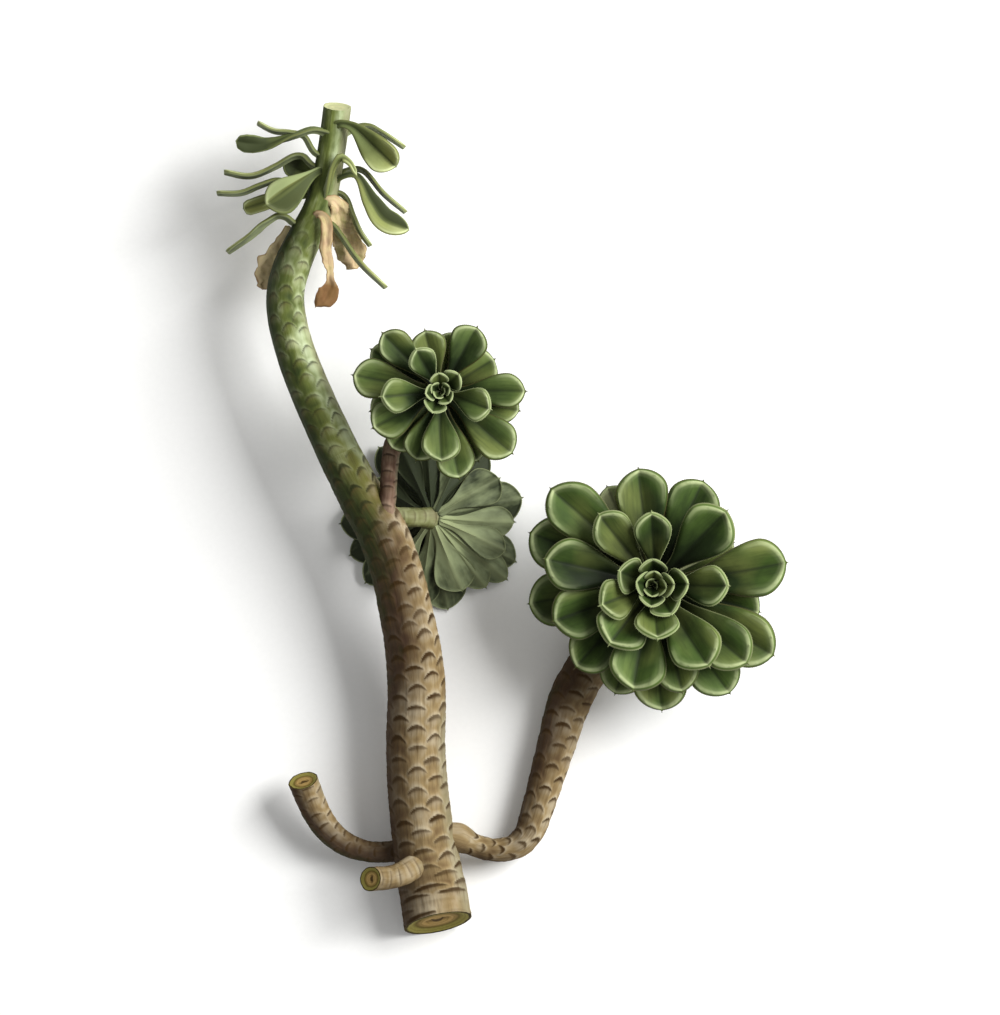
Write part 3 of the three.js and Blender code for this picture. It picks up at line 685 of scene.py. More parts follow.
@dataclass(frozen=True)
class WitheredFinish(Finish):
    """Dried leaf: thin crumpled skin, matt and papery, tan with brown ribs, edges and tip."""

    name: str = "withered_leaf_skin"
    tan: str = "#cfbe90"
    pink: str = "#c6ac8a"
    brown: str = "#96714b"
    dark: str = "#7d5a38"
    trace: str = "#b5ab78"
    bleached: str = "#e3d3a6"
    tip: str = "#64431f"
    roughness: float = 0.8
    gloss: float = 0.2
    grain_depth: float = 0.4 * MM

    def paint(self, add: Callable[..., Any]) -> dict[str, Any]:
        """Lay out the nodes.

        Args:
            add: Adds a node to the tree.

        Returns:
            The shader's inputs.
        """
        place = add("ShaderNodeAttribute", "Vector", attribute_name="leaf_place")
        along, rim, tone, age = (
            add("ShaderNodeAttribute", "Fac", attribute_name=f"leaf_{name}")
            for name in ("along", "rim", "tone", "age")
        )
        # Ribs about 1.2 mm apart along the leaf, and blots about 5 mm across
        fine = add("ShaderNodeMapping", 0, {"Vector": place, "Scale": (0.8, 0.06, 1.0)})
        ribs = add("ShaderNodeTexNoise", 0, {"Vector": fine, "Scale": 1.0, "Detail": 5.0})
        broad = add("ShaderNodeMapping", 0, {"Vector": place, "Scale": (0.22, 0.13, 1.0)})
        blots = add("ShaderNodeTexNoise", 0, {"Vector": broad, "Scale": 1.0, "Detail": 3.0})
        colour = add(
            "ShaderNodeValToRGB",
            "Color",
            {"Fac": blots},
            ((0.32, self.trace), (0.88, self.brown), (0.42, self.tan), (0.64, self.pink)),
        )
        rib = add("ShaderNodeValToRGB", "Color", {"Fac": ribs}, ((0.52, 0.0), (0.72, 0.4)))
        colour = add("ShaderNodeMix", 2, {0: rib, 6: colour, 7: self.brown}, data_type="RGBA")
        # Some leaves are bleached, and others brown, most of all at the tip
        bleach = add("ShaderNodeMath", 0, {0: age, 1: -0.6, 2: 0.6}, operation="MULTIPLY_ADD")
        colour = add("ShaderNodeMix", 2, {0: bleach, 6: colour, 7: self.bleached}, data_type="RGBA")
        tip = add("ShaderNodeValToRGB", "Color", {"Fac": along}, ((0.68, 0.34), (0.77, 0.93)))
        tip = add("ShaderNodeMath", 0, {0: tip, 1: tone}, operation="MULTIPLY")
        colour = add("ShaderNodeMix", 2, {0: tip, 6: colour, 7: self.tip}, data_type="RGBA")
        margin = add("ShaderNodeValToRGB", "Color", {"Fac": rim}, ((0.01, 0.8), (0.08, 0.0)))
        colour = add("ShaderNodeMix", 2, {0: margin, 6: colour, 7: self.dark}, data_type="RGBA")
        bump = add("ShaderNodeBump", 0, {"Height": ribs, "Distance": self.grain_depth})
        return {
            "Base Color": colour,
            "Roughness": self.roughness,
            "Specular IOR Level": self.gloss,
            "Normal": bump,
        }


@dataclass(frozen=True)
class BoardFinish(Finish):
    """Matt white board that the branch lies on, with a faint paper grain."""

    name: str = "matt_white_board"
    tint: str = "#f7f7f5"
    other: str = "#f2f2f0"
    roughness: float = 0.9

    def paint(self, add: Callable[..., Any]) -> dict[str, Any]:
        """Lay out the nodes.

        Args:
            add: Adds a node to the tree.

        Returns:
            The shader's inputs.
        """
        place = add("ShaderNodeTexCoord", "Object")
        # Paper grain about 2.5 mm wide
        grain = add("ShaderNodeTexNoise", 0, {"Vector": place, "Scale": 400.0, "Detail": 3.0})
        colour = add("ShaderNodeMix", 2, {0: grain, 6: self.tint, 7: self.other}, data_type="RGBA")
        return {"Base Color": colour, "Roughness": self.roughness}


def deselect() -> None:
    """Leave nothing selected."""
    bpy.ops.object.select_all(action="DESELECT")


def set_values(mesh: bpy.types.Mesh, **values: Array | float) -> None:
    """Store numbers at the points of a mesh.

    Args:
        mesh: Mesh that takes them.
        **values: For each attribute's name, a number for each point or one for all.
    """
    for name, value in values.items():
        layer = mesh.attributes.new(name, "FLOAT", "POINT")
        each = np.broadcast_to(value, len(mesh.vertices))
        layer.data.foreach_set("value", np.ascontiguousarray(each, dtype=np.float32))


def set_vector(mesh: bpy.types.Mesh, name: str, values: Array) -> None:
    """Store a vector at each point of a mesh."""
    layer = mesh.attributes.new(name, "FLOAT_VECTOR", "POINT")
    layer.data.foreach_set("vector", np.ascontiguousarray(values, dtype=np.float32).ravel())


def get_places(mesh: bpy.types.Mesh) -> Array:
    """Read a mesh's points as rows."""
    flat = np.empty(len(mesh.vertices) * 3, dtype=np.float32)
    mesh.vertices.foreach_get("co", flat)
    return flat.reshape(-1, 3).astype(float)


def set_places(mesh: bpy.types.Mesh, places: Array) -> None:
    """Write a mesh's points, given in mm."""
    mesh.vertices.foreach_set("co", np.ascontiguousarray(places * MM, dtype=np.float32).ravel())
    mesh.update()


def wander(places: Array) -> Array:
    """Smooth noise from -1 to 1 at each row of places."""
    return np.array([noise.noise(Vector(place)) for place in places])


def join(name: str, parts: Sequence[bpy.types.Object]) -> bpy.types.Object:
    """Join objects to one.

    Args:
        name: Name of the joined object.
        parts: Objects to join, which may be just one.

    Returns:
        The joined object.
    """
    deselect()
    for part in parts:
        part.select_set(True)
    bpy.context.view_layer.objects.active = parts[0]
    if len(parts) > 1:
        bpy.ops.object.join()
    whole = bpy.context.active_object
    whole.name = name
    whole.data.name = name
    return whole


def smooth_by_angle(piece: bpy.types.Object, degrees: float) -> None:
    """Shade a piece smooth except at edges sharper than an angle."""
    deselect()
    piece.select_set(True)
    bpy.context.view_layer.objects.active = piece
    bpy.ops.object.shade_smooth_by_angle(angle=math.radians(degrees))


def hand_in(piece: bpy.types.Object, slot: str, *nodes: str) -> None:
    """Hang a piece on the body, hide the solids that it stands for, and log it.

    Args:
        piece: Finished piece.
        slot: Name of a material slot; not used.
        *nodes: Solids that the piece stands for.
    """
    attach(piece, BODY)
    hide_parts(*nodes)
    log.info("%s: %d faces for %s", piece.name, len(piece.data.polygons), ", ".join(nodes))


@dataclass(frozen=True)
class ScarPattern:
    """Leaf scars in staggered columns round a stem, sizes in mm."""

    columns: int
    pitch: float
    ledge: float  # height of a cushion above the hollow next to it
    arch: float = 2.6  # how far a scar's ends lie below its middle
    line: float = 2.3  # thickness of a scar
    strength: float = 1.0
    reach: float = 1.15  # where a scar ends, in halves of a column from its middle
    wide_below: float = -100.0  # scars are wider and flatter below this length
    bare_below: float = -100.0  # no scars below this length, or above the next one
    bare_above: float = BARE
    seed: int = 1

    LEDGE_PLACE = 0.76  # share of the pitch where the crescent's top lies
    HOLLOW_SHARE = 0.4  # share of a ledge that lies inside the stem's listed radius
    ROWS = 200  # rows with draws of their own
    FIRST_ROW = 20  # the row of draws at the stem's foot, as some rows lie before it
    FADE = 30.0  # length over which the scars change their width or stop
    START_FADE = 4.0  # length over which they start
    SHADE_LENGTH = 1.6  # how far the shade below a scar reaches
    FIBRE_LENGTH = 3.0  # and the coarse fibre

    def lay(self, along: Array, angle: Array) -> dict[str, Array]:
        """Work out the scars at points of a stem's skin.

        Args:
            along: Lengths along the stem.
            angle: Angles round it, in radians.

        Returns:
            Height in mm, and shares of scar, shade, fibre and cushion at each point.
        """
        column = angle / (2 * math.pi) * self.columns
        foot = 1 - smoothstep(along, self.wide_below, self.wide_below + self.FADE)
        draws = np.random.default_rng(self.seed).uniform(-1, 1, (5, self.columns, self.ROWS))
        found = {name: np.zeros_like(along) for name in ("scar", "shade", "fibre", "cushion")}
        for offset in (0, 1):
            middle = np.floor(column).astype(int) + offset
            sideways = (column - middle) * 2 * (1 - 0.45 * foot)
            turn = middle % self.columns
            phase = along / self.pitch + (turn % 2) * 0.5 - self.LEDGE_PLACE
            row = np.floor(phase + 0.7).astype(int)
            draw = draws[:, turn, row + self.FIRST_ROW]
            # Each scar has a height, an arch, a slant, a boldness and a thickness of its own
            slanted = sideways + 0.3 * draw[3]
            arch = self.arch * (1 + 0.4 * draw[1]) * (1 - 0.5 * foot)
            off = (phase - row + 0.1 * draw[0]) * self.pitch + arch * slanted**2
            taper = np.clip(1 - np.abs(slanted / self.reach) ** 2.4, 0, 1)
            thick = self.line * (0.25 + 0.75 * taper) * (1 - 0.3 * sideways) * (1 + 0.25 * draw[4])
            kept = np.where(draw[4] < 0.8 * foot - 1.0, 0.15, 1.0) * self.strength
            kept = kept * smoothstep(along, self.bare_below, self.bare_below + self.START_FADE)
            kept = kept * (1 - smoothstep(along, self.bare_above - self.FADE, self.bare_above))
            band = smoothstep(off, -thick - 0.3, -0.6 * thick) * (1 - smoothstep(off, 0.0, 0.35))
            bold = np.clip(0.8 + 0.2 * draw[2] - 0.15 * sideways, 0, 1)
            scar = band * np.clip(2.5 * taper, 0, 1) * kept * bold
            # Shade and coarse fibre run out below it
            below = np.minimum(off + thick, 0)
            shade = np.where(off < 0, np.exp(below / self.SHADE_LENGTH), 0.0) * taper * kept
            fibre = np.where(off < 0, np.exp(below / self.FIBRE_LENGTH), 0.0) * taper * kept
            # The cushion swells up to it from below and falls off sharply above
            rise = np.where(
                off < 0, np.exp(off / (0.5 * self.pitch)), np.exp(-((off / 1.8) ** 2))
            )
            fade = smoothstep(phase - row, -0.7, -0.35)
            beside = 1 - smoothstep(np.abs(sideways), 0.85, 1.45)
            cushion = rise * fade * beside * kept
            for name, value in zip(found, (scar, shade, fibre, cushion)):
                found[name] = np.maximum(found[name], value)
        relief = found["cushion"] - self.HOLLOW_SHARE - 0.4 * found["scar"]
        found["height"] = self.ledge * relief
        return found


@dataclass
class Stem:
    """One stretch of stem: a cylinder bent along a line, with scars and its ends cut."""

    name: str
    line: SmoothLine
    scars: ScarPattern
    bark: bpy.types.Material
    cut: bpy.types.Material
    start: float = 0.0
    end: float | None = None
    cut_start: Array | None = None
    cut_end: Array | None = None
    grain: float = 0.65  # size of its faces
    flare: float = 0.0  # a swelling, and the length that it is at
    flare_at: float = 0.0
    greening: tuple[float, float] = (BARE, BARE + 1)  # it turns green between these lengths
    joint: float = BARE  # the relief fades out here, where the next stretch goes on
    knots: float = 0.22  # height of its lumps
    dimming: tuple[tuple[float, float], ...] = ((0.0, 0.0),)  # lengths, and how much painted shade there

    INSETS = (0.03, 0.04, 0.06, 0.06, 0.08, 0.13, 0.15, 0.15, 0.1)  # rings of a cut face
    FLARE_WIDTH = 5.0
    CALM_WIDTH = 4.0  # how far from a joint the relief starts again
    SKIN = 0.999  # points this far out, as a share of the radius, are on the skin
    LUMP_SHAPE = 0.16  # width of a lump round the stem against its length along it
    SHARPEST = 40.0  # degrees between faces that are still shaded as one

    def build(self) -> bpy.types.Object:
        """Model the stretch.

        Returns:
            The stem's object, with cut faces in its second material slot.
        """
        end = self.line.length if self.end is None else self.end
        longest = end - self.start
        radius = float(self.line.at(np.array([(self.start + end) / 2]))[2][0])
        sides = max(24, int(2 * math.pi * radius / self.grain))
        first = max(2, round(math.sqrt(longest / self.grain)))
        rings = first * first
        stem = self._blank(sides, first)
        raw = get_places(stem.data)
        share = raw[:, 2] + 0.5
        spread = np.hypot(raw[:, 0], raw[:, 1])
        angle = np.arctan2(raw[:, 1], raw[:, 0])
        # Each point keeps its angle and moves to its ring on the line
        levels = np.linspace(self.start, end, rings + 1)
        index = np.rint(share * rings).astype(int)
        middles, directions, radii = self.line.at(levels)
        sides_in = self._carry(directions)
        across = np.cross(directions, sides_in)
        along = levels[index]
        # Its distance from the line takes in the scars, a flare and lumps
        found = self.scars.lay(along, angle)
        calm = smoothstep(np.abs(along - self.joint), 0.0, self.CALM_WIDTH)
        swell = self.flare * np.exp(-(((along - self.flare_at) / self.FLARE_WIDTH) ** 2))
        east = np.cos(angle)
        north = np.sin(angle)
        ridges = np.stack([east * radii[index], north * radii[index], along * self.LUMP_SHAPE], 1)
        rough = self.knots * wander(ridges * 0.5) + self.knots * wander(ridges * 0.14 + 9.0)
        length = radii[index] + swell + (found["height"] + rough) * calm
        out = east[:, None] * sides_in[index] + north[:, None] * across[index]
        reach = length * np.where(spread > self.SKIN, 1.0, spread)
        places = middles[index] + out * reach[:, None]
        # Points near a slanted cut slide along the stem, those of the end into its plane
        for cut, level in ((self.cut_start, 0), (self.cut_end, rings)):
            if cut is None:
                continue
            away = np.abs(along - levels[level])
            ease = np.clip(1 - away / (CUT_REACH * radii[level]), 0, 1)
            slide = -reach * ease * (out @ cut) / (directions[level] @ cut)
            places = places + slide[:, None] * directions[level]
        places[:, 2] = np.maximum(places[:, 2], LOWEST)
        inward = np.where(share < 0.5, 1.0, -1.0) * self._hollow(spread, angle, radii[index])
        places = places + inward[:, None] * directions[index]
        set_places(stem.data, places)
        # What the bark and the cut wood need to know
        # Painted light: how far each point faces the lit side, less the painted shade along the
        # stem
        marks, shade_amounts = zip(*self.dimming)
        set_vector(stem.data, "bark_place", np.stack([east * radius, north * radius, along], 1))
        set_values(
            stem.data,
            bark_green=smoothstep(along, *self.greening),
            bark_scar=found["scar"] * calm,
            bark_shade=found["shade"] * calm,
            bark_fibre=found["fibre"] * calm,
            bark_cushion=found["cushion"],
            bark_sun=0.5 + 0.5 * out @ PAINTED_LIGHT_SIDE - np.interp(along, marks, shade_amounts),
        )
        set_vector(stem.data, "cut_place", np.stack([spread * east, spread * north, spread], 1))
        self._dress(stem, spread)
        return stem

    def _dress(self, stem: bpy.types.Object, spread: Array) -> None:
        """Give the skin its bark and the ends their cut wood.

        Args:
            stem: The bent cylinder.
            spread: Share of the radius at each of its points.
        """
        corners = np.empty(len(stem.data.loops), dtype=np.int32)
        stem.data.loops.foreach_get("vertex_index", corners)
        starts = np.empty(len(stem.data.polygons), dtype=np.int32)
        stem.data.polygons.foreach_get("loop_start", starts)
        inner = np.minimum.reduceat(spread[corners], starts) < self.SKIN
        stem.data.materials.append(self.bark)
        stem.data.materials.append(self.cut)
        stem.data.polygons.foreach_set("material_index", inner.astype(np.int32))
        smooth_by_angle(stem, self.SHARPEST)

    def _blank(self, sides: int, cuts: int) -> bpy.types.Object:
        """Add a cylinder, cut it into rings and inset its ends.

        Args:
            sides: Faces round it.
            cuts: Rings, as the square root of their number.

        Returns:
            A cylinder one unit long and one unit in radius.
        """
        deselect()
        bpy.ops.mesh.primitive_cylinder_add(vertices=sides, radius=1, depth=1, end_fill_type="NGON")
        blank = bpy.context.active_object
        blank.name = self.name
        bpy.ops.object.mode_set(mode="EDIT")
        bpy.context.tool_settings.mesh_select_mode = (False, True, False)
        # Cutting every long edge twice gives as many rings as the square of the cuts
        for _ in range(2):
            bpy.ops.mesh.select_all(action="DESELECT")
            shape = bmesh.from_edit_mesh(blank.data)
            for edge in shape.edges:
                drop = abs(edge.verts[0].co.z - edge.verts[1].co.z)
                edge.select_set(drop > 1e-5)
            bmesh.update_edit_mesh(blank.data)
            bpy.ops.mesh.subdivide(number_cuts=cuts - 1)
        # Both ends at once
        bpy.context.tool_settings.mesh_select_mode = (False, False, True)
        bpy.ops.mesh.select_all(action="DESELECT")
        shape = bmesh.from_edit_mesh(blank.data)
        for face in shape.faces:
            face.select_set(len(face.verts) > 4)
        bmesh.update_edit_mesh(blank.data)
        for thickness in self.INSETS:
            bpy.ops.mesh.inset(thickness=thickness, depth=0)
        bpy.ops.object.mode_set(mode="OBJECT")
        return blank

    @staticmethod
    def _carry(directions: Array) -> Array:
        """Carry the upward side along the stem without twist.

        Args:
            directions: Unit directions, ring by ring.

        Returns:
            A unit vector square to each direction.
        """
        sides = np.empty_like(directions)
        side = UP
        for index, direction in enumerate(directions):
            side = side - (side @ direction) * direction
            side = side / np.linalg.norm(side)
            sides[index] = side
        return sides

    @staticmethod
    def _hollow(spread: Array, angle: Array, radius: Array) -> Array:
        """Sink of a cut face: a step down inside the rim, and a slit at the pith.

        Args:
            spread: Shares of the radius.
            angle: Angles round the stem.
            radius: Radii in mm.

        Returns:
            Depths in mm.
        """
        inside = 1 - spread
        step = 0.075 * smoothstep(inside, 0.1, 0.26)
        slit = np.hypot(0.45 * spread * np.sin(angle), spread * np.cos(angle))
        pit = 0.1 * (1 - smoothstep(slit, 0.05, 0.22))
        return (step + pit) * radius * smoothstep(inside, 0.0, 0.05)


@dataclass(frozen=True)
class BladeForm:
    """Sizes and bends of one leaf blade, in mm and degrees."""

    width: float
    thickness: float
    fold: float  # rise of each half from the midrib, as a share of its width
    crest: float = 0.7  # height of the crest inside the margin
    roll: float = 1.0  # drop of the margin outside the crest
    cup: float = 0.8  # rise of the tip
    wrap: float = 0.0  # how strongly it wraps round the bud
    side_bend: float = 0.0
    twist: float = 0.0
    ripple: float = 0.0
    crumple: float = 0.0
    mucro: float = 1.6  # length of the point at the tip
    taper: float = 0.4  # how much thinner the tip is, as a share
    teeth: float = 0.6  # length of the teeth
    age: float = 1.0  # colours the margin, from 0 to 1
    painted_tip_shade: float = 0.0  # painted shade: how much darker the tip is
    split: float = 0.0  # painted light: how much lighter one half is than the other
    palest: float = MOST_TONE  # how light its lightest half can be
    profile: tuple[tuple[float, float], ...] = ()  # shares of length and width, if not the usual

    CREST_INSET = 0.07  # from the margin to the crest, as a share of the leaf's width
    LEAST_INSET = 0.7  # the same on a narrow leaf, in mm

    def full(self, length: float) -> float:
        """Share of the midrib's length at which the point ends."""
        return 1 + self.mucro / length

    def crest_inset(self) -> float:
        """Distance from the margin to the crest."""
        return max(self.LEAST_INSET, self.CREST_INSET * self.width)


class LeafPress:
    """Presses copies of one sphere into leaf blades along their midribs."""

    NECK_WIDTH = 0.24  # root width against the widest
    NECK_END = 0.18  # the blade widens from this share of its length
    BELLY = 0.79  # and is widest here
    STEP = 0.004  # share of the length over which a margin's slope is taken
    STEEPEST = 60.0  # square of the steepest slope that counts
    USUAL_WIDTH = 26.0  # relief is lower on leaves narrower than this
    TEETH_START = 0.38  # share of the length where the teeth start
    TOOTH_GAP = 0.95  # from one tooth of a margin to the next, in mm
    TOOTH_WIDTH = 0.42
    TOOTH_ROOT = 0.12  # a tooth starts this deep in the margin
    TOOTH_FLOOR = 0.02  # no tooth is lower than this above the board

    def __init__(self, segments: int, rings: int) -> None:
        """Add the sphere that every blade starts from, and the cone that every tooth is.

        Args:
            segments: Faces round a blade.
            rings: Faces along it.
        """
        deselect()
        bpy.ops.mesh.primitive_uv_sphere_add(segments=segments, ring_count=rings, radius=1)
        self.blank = bpy.context.active_object
        raw = get_places(self.blank.data)
        share = np.arccos(np.clip(-raw[:, 2], -1, 1)) / math.pi
        self.along = np.sin(share * math.pi / 2)
        angle = np.arctan2(raw[:, 1], raw[:, 0])
        pole = (share < 1e-4) | (share > 1 - 1e-4)
        level = -np.cos(angle)
        self.sideways = np.where(pole, 0.0, level * (0.4 + 0.6 * np.abs(level)))
        self.upper = np.where(pole, 0.0, np.sin(angle))
        deselect()
        bpy.ops.mesh.primitive_cone_add(vertices=3, radius1=0.5, depth=1, location=(0, 0, 0.5))
        self.tooth = bpy.context.active_object
        bpy.ops.object.transform_apply(location=True, rotation=False, scale=False)
        self.made = 0

    def discard(self) -> None:
        """Remove the sphere and the cone when all blades are made."""
        bpy.data.objects.remove(self.blank)
        bpy.data.objects.remove(self.tooth)

    def press(
        self,
        midrib: Callable[[Array], tuple[Array, Array, Array]],
        length: float,
        form: BladeForm,
        tone: float,
    ) -> list[bpy.types.Object]:
        """Shape one blade and the teeth along its margin.

        Args:
            midrib: Gives places, directions and face directions at lengths in mm.
            length: The midrib's length without the point at its tip.
            form: The blade's sizes.
            tone: How light its green is, from 0 to 1.

        Returns:
            The blade's object and that of its teeth, where it has any.
        """
        self.made += 1
        place = self.along * form.full(length)
        half = self._half_width(place, length, form)
        beyond = self._half_width(place + self.STEP, length, form)
        slope = (beyond - half) / (self.STEP * length)
        inside = np.abs(self.sideways)
        rim = (1 - inside) * half / np.sqrt(1 + np.minimum(slope**2, self.STEEPEST))
        surface = self._surface(midrib, length, form)
        places = surface(place, self.sideways, self.upper, half, rim)
        blade = self.blank.copy()
        blade.data = self.blank.data.copy()
        bpy.context.collection.objects.link(blade)
        set_places(blade.data, places)
        number = np.full_like(place, self.made * 7.3)
        vector = np.stack([self.sideways * half, place * length, number], 1)
        set_vector(blade.data, "leaf_place", vector)
        set_values(
            blade.data,
            leaf_rim=np.clip(rim / 10, 0, 1),
            leaf_crest=np.clip(rim / form.crest_inset() / 4, 0, 1),
            leaf_mid=np.clip(inside * half / 10, 0, 1),
            leaf_along=place,
            leaf_top=np.clip(0.5 + 4 * self.upper, 0, 1),
            leaf_tone=self._tone(place, form, tone),
            leaf_age=form.age,
        )
        if not form.teeth:
            return [blade]
        return [blade, self._fringe(surface, length, form, tone)]

    def _surface(
        self, midrib: Callable[[Array], tuple[Array, Array, Array]], length: float, form: BladeForm
    ) -> Callable[..., Array]:
        """Make the function that lays points on the blade's skin.

        Args:
            midrib: Gives places, directions and face directions at lengths in mm.
            length: The midrib's length.
            form: The blade's sizes.

        Returns:
            A function of the share along, the side, the upper share, half width and rim.
        """
        full = form.full(length)

        def lay(place: Array, side: Array, upper: Array, half: Array, rim: Array) -> Array:
            """Places of points on the blade's skin."""
            middles, directions, faces = midrib(place * length)
            across = np.cross(directions, faces)
            # The far part of the blade turns about the midrib
            turn = np.radians(form.twist) * smoothstep(place, 0.4, 0.9)
            across, faces = (
                across * np.cos(turn)[:, None] + faces * np.sin(turn)[:, None],
                faces * np.cos(turn)[:, None] - across * np.sin(turn)[:, None],
            )
            inside = np.abs(side)
            lift = self._section(place, inside, side, half, rim, length, form)
            # It thins out towards the tip and at narrow places, and ends round
            thin = form.thickness * (1 - form.taper * np.clip(place, 0, 1))
            thin = thin * np.minimum(1, half / 2.0)
            tip = np.clip((full - place) * length / (0.65 * form.thickness), 0, 1)
            sunk = thin * (1 - np.sqrt(tip * (2 - tip)))
            thin = thin - sunk
            # The flesh lies below the upper skin, with a keel under the midrib
            skin = np.sign(upper) * np.abs(upper) ** 0.7
            keel = 0.35 * form.thickness * np.exp(-((side / 0.14) ** 2)) * (skin < 0) * (1 - place)
            height = lift + thin * (skin - 1) / 2 - keel - sunk / 2
            sway = math.tan(math.radians(form.side_bend)) * length * np.clip(place, 0, 1.1) ** 2
            places = middles + across * (side * half + sway)[:, None] + faces * height[:, None]
            # Dried leaves are crumpled, most of all away from the root
            if form.crumple:
                size = form.crumple * smoothstep(place, 0.03, 0.4)
                bent = wander(places * 0.17) + 0.5 * wander(places * 0.45 + 5.0)
                places = places + faces * (size * bent)[:, None]
                shift = size * 0.6 * wander(places * 0.3 + 11.0)
                places = places + across * shift[:, None]
            places[:, 2] = np.maximum(places[:, 2], LOWEST)
            return places

        return lay

    def _tone(self, place: Array, form: BladeForm, tone: float) -> Array:
        """How light the green is at each point, with painted shade at the tip and painted light on
        one half.

        Args:
            place: Shares of the length.
            form: The blade's sizes.
            tone: How light the blade is as a whole.

        Returns:
            A tone for each point.
        """
        halves = form.split * np.clip(6 * self.sideways, -1, 1)  # they blend along the midrib
        found = tone - form.painted_tip_shade * place**3 + halves
        return np.minimum(found, max(tone, form.palest))

    def _half_width(self, place: Array, length: float, form: BladeForm) -> Array:
        """Half the width in mm, with an ogee point past the tip.

        Args:
            place: Shares of the length.
            length: The midrib's length.
            form: The blade's sizes.

        Returns:
            A half width for each place.
        """
        if form.profile:
            marks, shares = zip(*form.profile)
            return form.width / 2 * np.interp(np.clip(place, 0, 1), marks, shares)
        widening = smoothstep(place, self.NECK_END, self.BELLY)
        neck = self.NECK_WIDTH + (1 - self.NECK_WIDTH) * widening
        past = np.clip((place - self.BELLY) / (1 - self.BELLY), 0, 1)
        body = np.where(place < self.BELLY, neck, (1 - past**1.9) ** 0.6)
        body = form.width / 2 * np.where(place >= 1, 0.0, body)
        size = min(1.1, max(0.4, form.width / self.USUAL_WIDTH))
        left = np.clip((1 - place) * length + form.mucro, 0, None)
        point = 2.4 * size * (np.clip(left, 0, 5 * size) / (4.5 * size)) ** 1.6
        return np.maximum(body, np.where(left < 5 * size, point, 0.0))

    def _section(
        self,
        place: Array,
        inside: Array,
        side: Array,
        half: Array,
        rim: Array,
        length: float,
        form: BladeForm,
    ) -> Array:
        """Height of the upper skin above the midrib, in mm.

        Args:
            place: Shares of the length.
            inside: Shares of the half width, from the midrib out.
            side: The same with the side's sign.
            half: Half widths.
            rim: Distances from the margin.
            length: The blade's length.
            form: The blade's sizes.

        Returns:
            A height for each point.
        """
        out = inside * half
        # A folded blade with a groove along its midrib, a slight belly and a crest
        groove = np.sqrt(out**2 + 0.16) - 0.4
        trough = form.fold * (0.95 * groove - 0.3 * half * inside**3)
        belly = 0.06 * half * np.sin(math.pi * np.clip(inside, 0, 1))
        inset = form.crest_inset()
        size = min(1.0, form.width / self.USUAL_WIDTH) * smoothstep(place, 0.3, 0.62)
        crest = form.crest * size * np.exp(-(((rim - inset) / (0.55 * inset)) ** 2))
        outside = 1 - smoothstep(rim, 0.0, inset)
        roll = form.roll * size * outside * smoothstep(inside, 0.2, 0.5)
        # Its tip rises, its margins ripple, and round the bud it is part of a tube
        cup = form.cup * smoothstep(place, 0.7, 1.0)
        wave = form.ripple * np.sin(place * length / 5.0 + length + side) * inside**2
        bowl = np.zeros_like(out)
        if form.wrap:
            bowl = (1 - np.sqrt(1 - np.minimum(out * form.wrap, 0.95) ** 2)) / form.wrap
        return trough + belly + crest - roll + cup + wave + bowl

    def _fringe(
        self, surface: Callable[..., Array], length: float, form: BladeForm, tone: float
    ) -> bpy.types.Object:
        """Set fine teeth along both margins, as copies of the cone.

        Args:
            surface: Lays points on the blade's skin.
            length: The midrib's length.
            form: The blade's sizes.
            tone: How light the blade's green is.

        Returns:
            The object of all the teeth.
        """
        fine = np.linspace(self.TEETH_START, 1.0, 400) * form.full(length)
        half = self._half_width(fine, length, form)
        zeros = np.zeros_like(fine)
        rows = []
        for side in (-1.0, 1.0):
            edge = surface(fine, np.full_like(fine, side), zeros, half, zeros)
            near = surface(fine, np.full_like(fine, side * 0.9), zeros, half, 0.1 * half)
            # Teeth stand at almost even gaps and lean towards the tip
            marks = np.concatenate([[0], np.cumsum(np.linalg.norm(np.diff(edge, axis=0), axis=1))])
            wanted = np.arange(0.3, marks[-1] - 0.3, self.TOOTH_GAP)
            wanted = np.minimum(wanted + 0.3 * np.sin(wanted * 7.1 + self.made), marks[-1] - 0.5)
            at = place_at(marks, edge, wanted)
            run = unit(place_at(marks, edge, wanted + 0.4) - at)
            out = square_to(at - place_at(marks, near, wanted), run)
            rows.append((at, unit(out + 0.5 * run), run))
        at, out, run = (np.vstack([first, second]) for first, second in zip(*rows))
        cone = get_places(self.tooth.data)
        third = np.cross(out, run)
        tall = form.teeth * (0.75 + 0.25 * np.sin(np.arange(len(at)) * 2.3))
        points = (
            at[:, None, :]
            + cone[None, :, 0, None] * self.TOOTH_WIDTH * run[:, None, :]
            + cone[None, :, 1, None] * self.TOOTH_WIDTH * third[:, None, :]
            + (cone[None, :, 2, None] * tall[:, None, None] - self.TOOTH_ROOT) * out[:, None, :]
        ).reshape(-1, 3)
        points[:, 2] = np.maximum(points[:, 2], self.TOOTH_FLOOR)
        faces = [tuple(polygon.vertices) for polygon in self.tooth.data.polygons]
        count = len(cone)
        copies = [tuple(v + k * count for v in face) for k in range(len(at)) for face in faces]
        mesh = bpy.data.meshes.new("margin_teeth")
        mesh.from_pydata((points * MM).tolist(), [], copies)
        fringe = bpy.data.objects.new("margin_teeth", mesh)
        bpy.context.collection.objects.link(fringe)
        set_vector(mesh, "leaf_place", points)
        set_values(
            mesh,
            leaf_rim=0.0,
            leaf_crest=0.0,
            leaf_mid=1.0,
            leaf_along=0.9,
            leaf_top=1.0,
            leaf_tone=tone,
            leaf_age=form.age,
        )
        return fringe


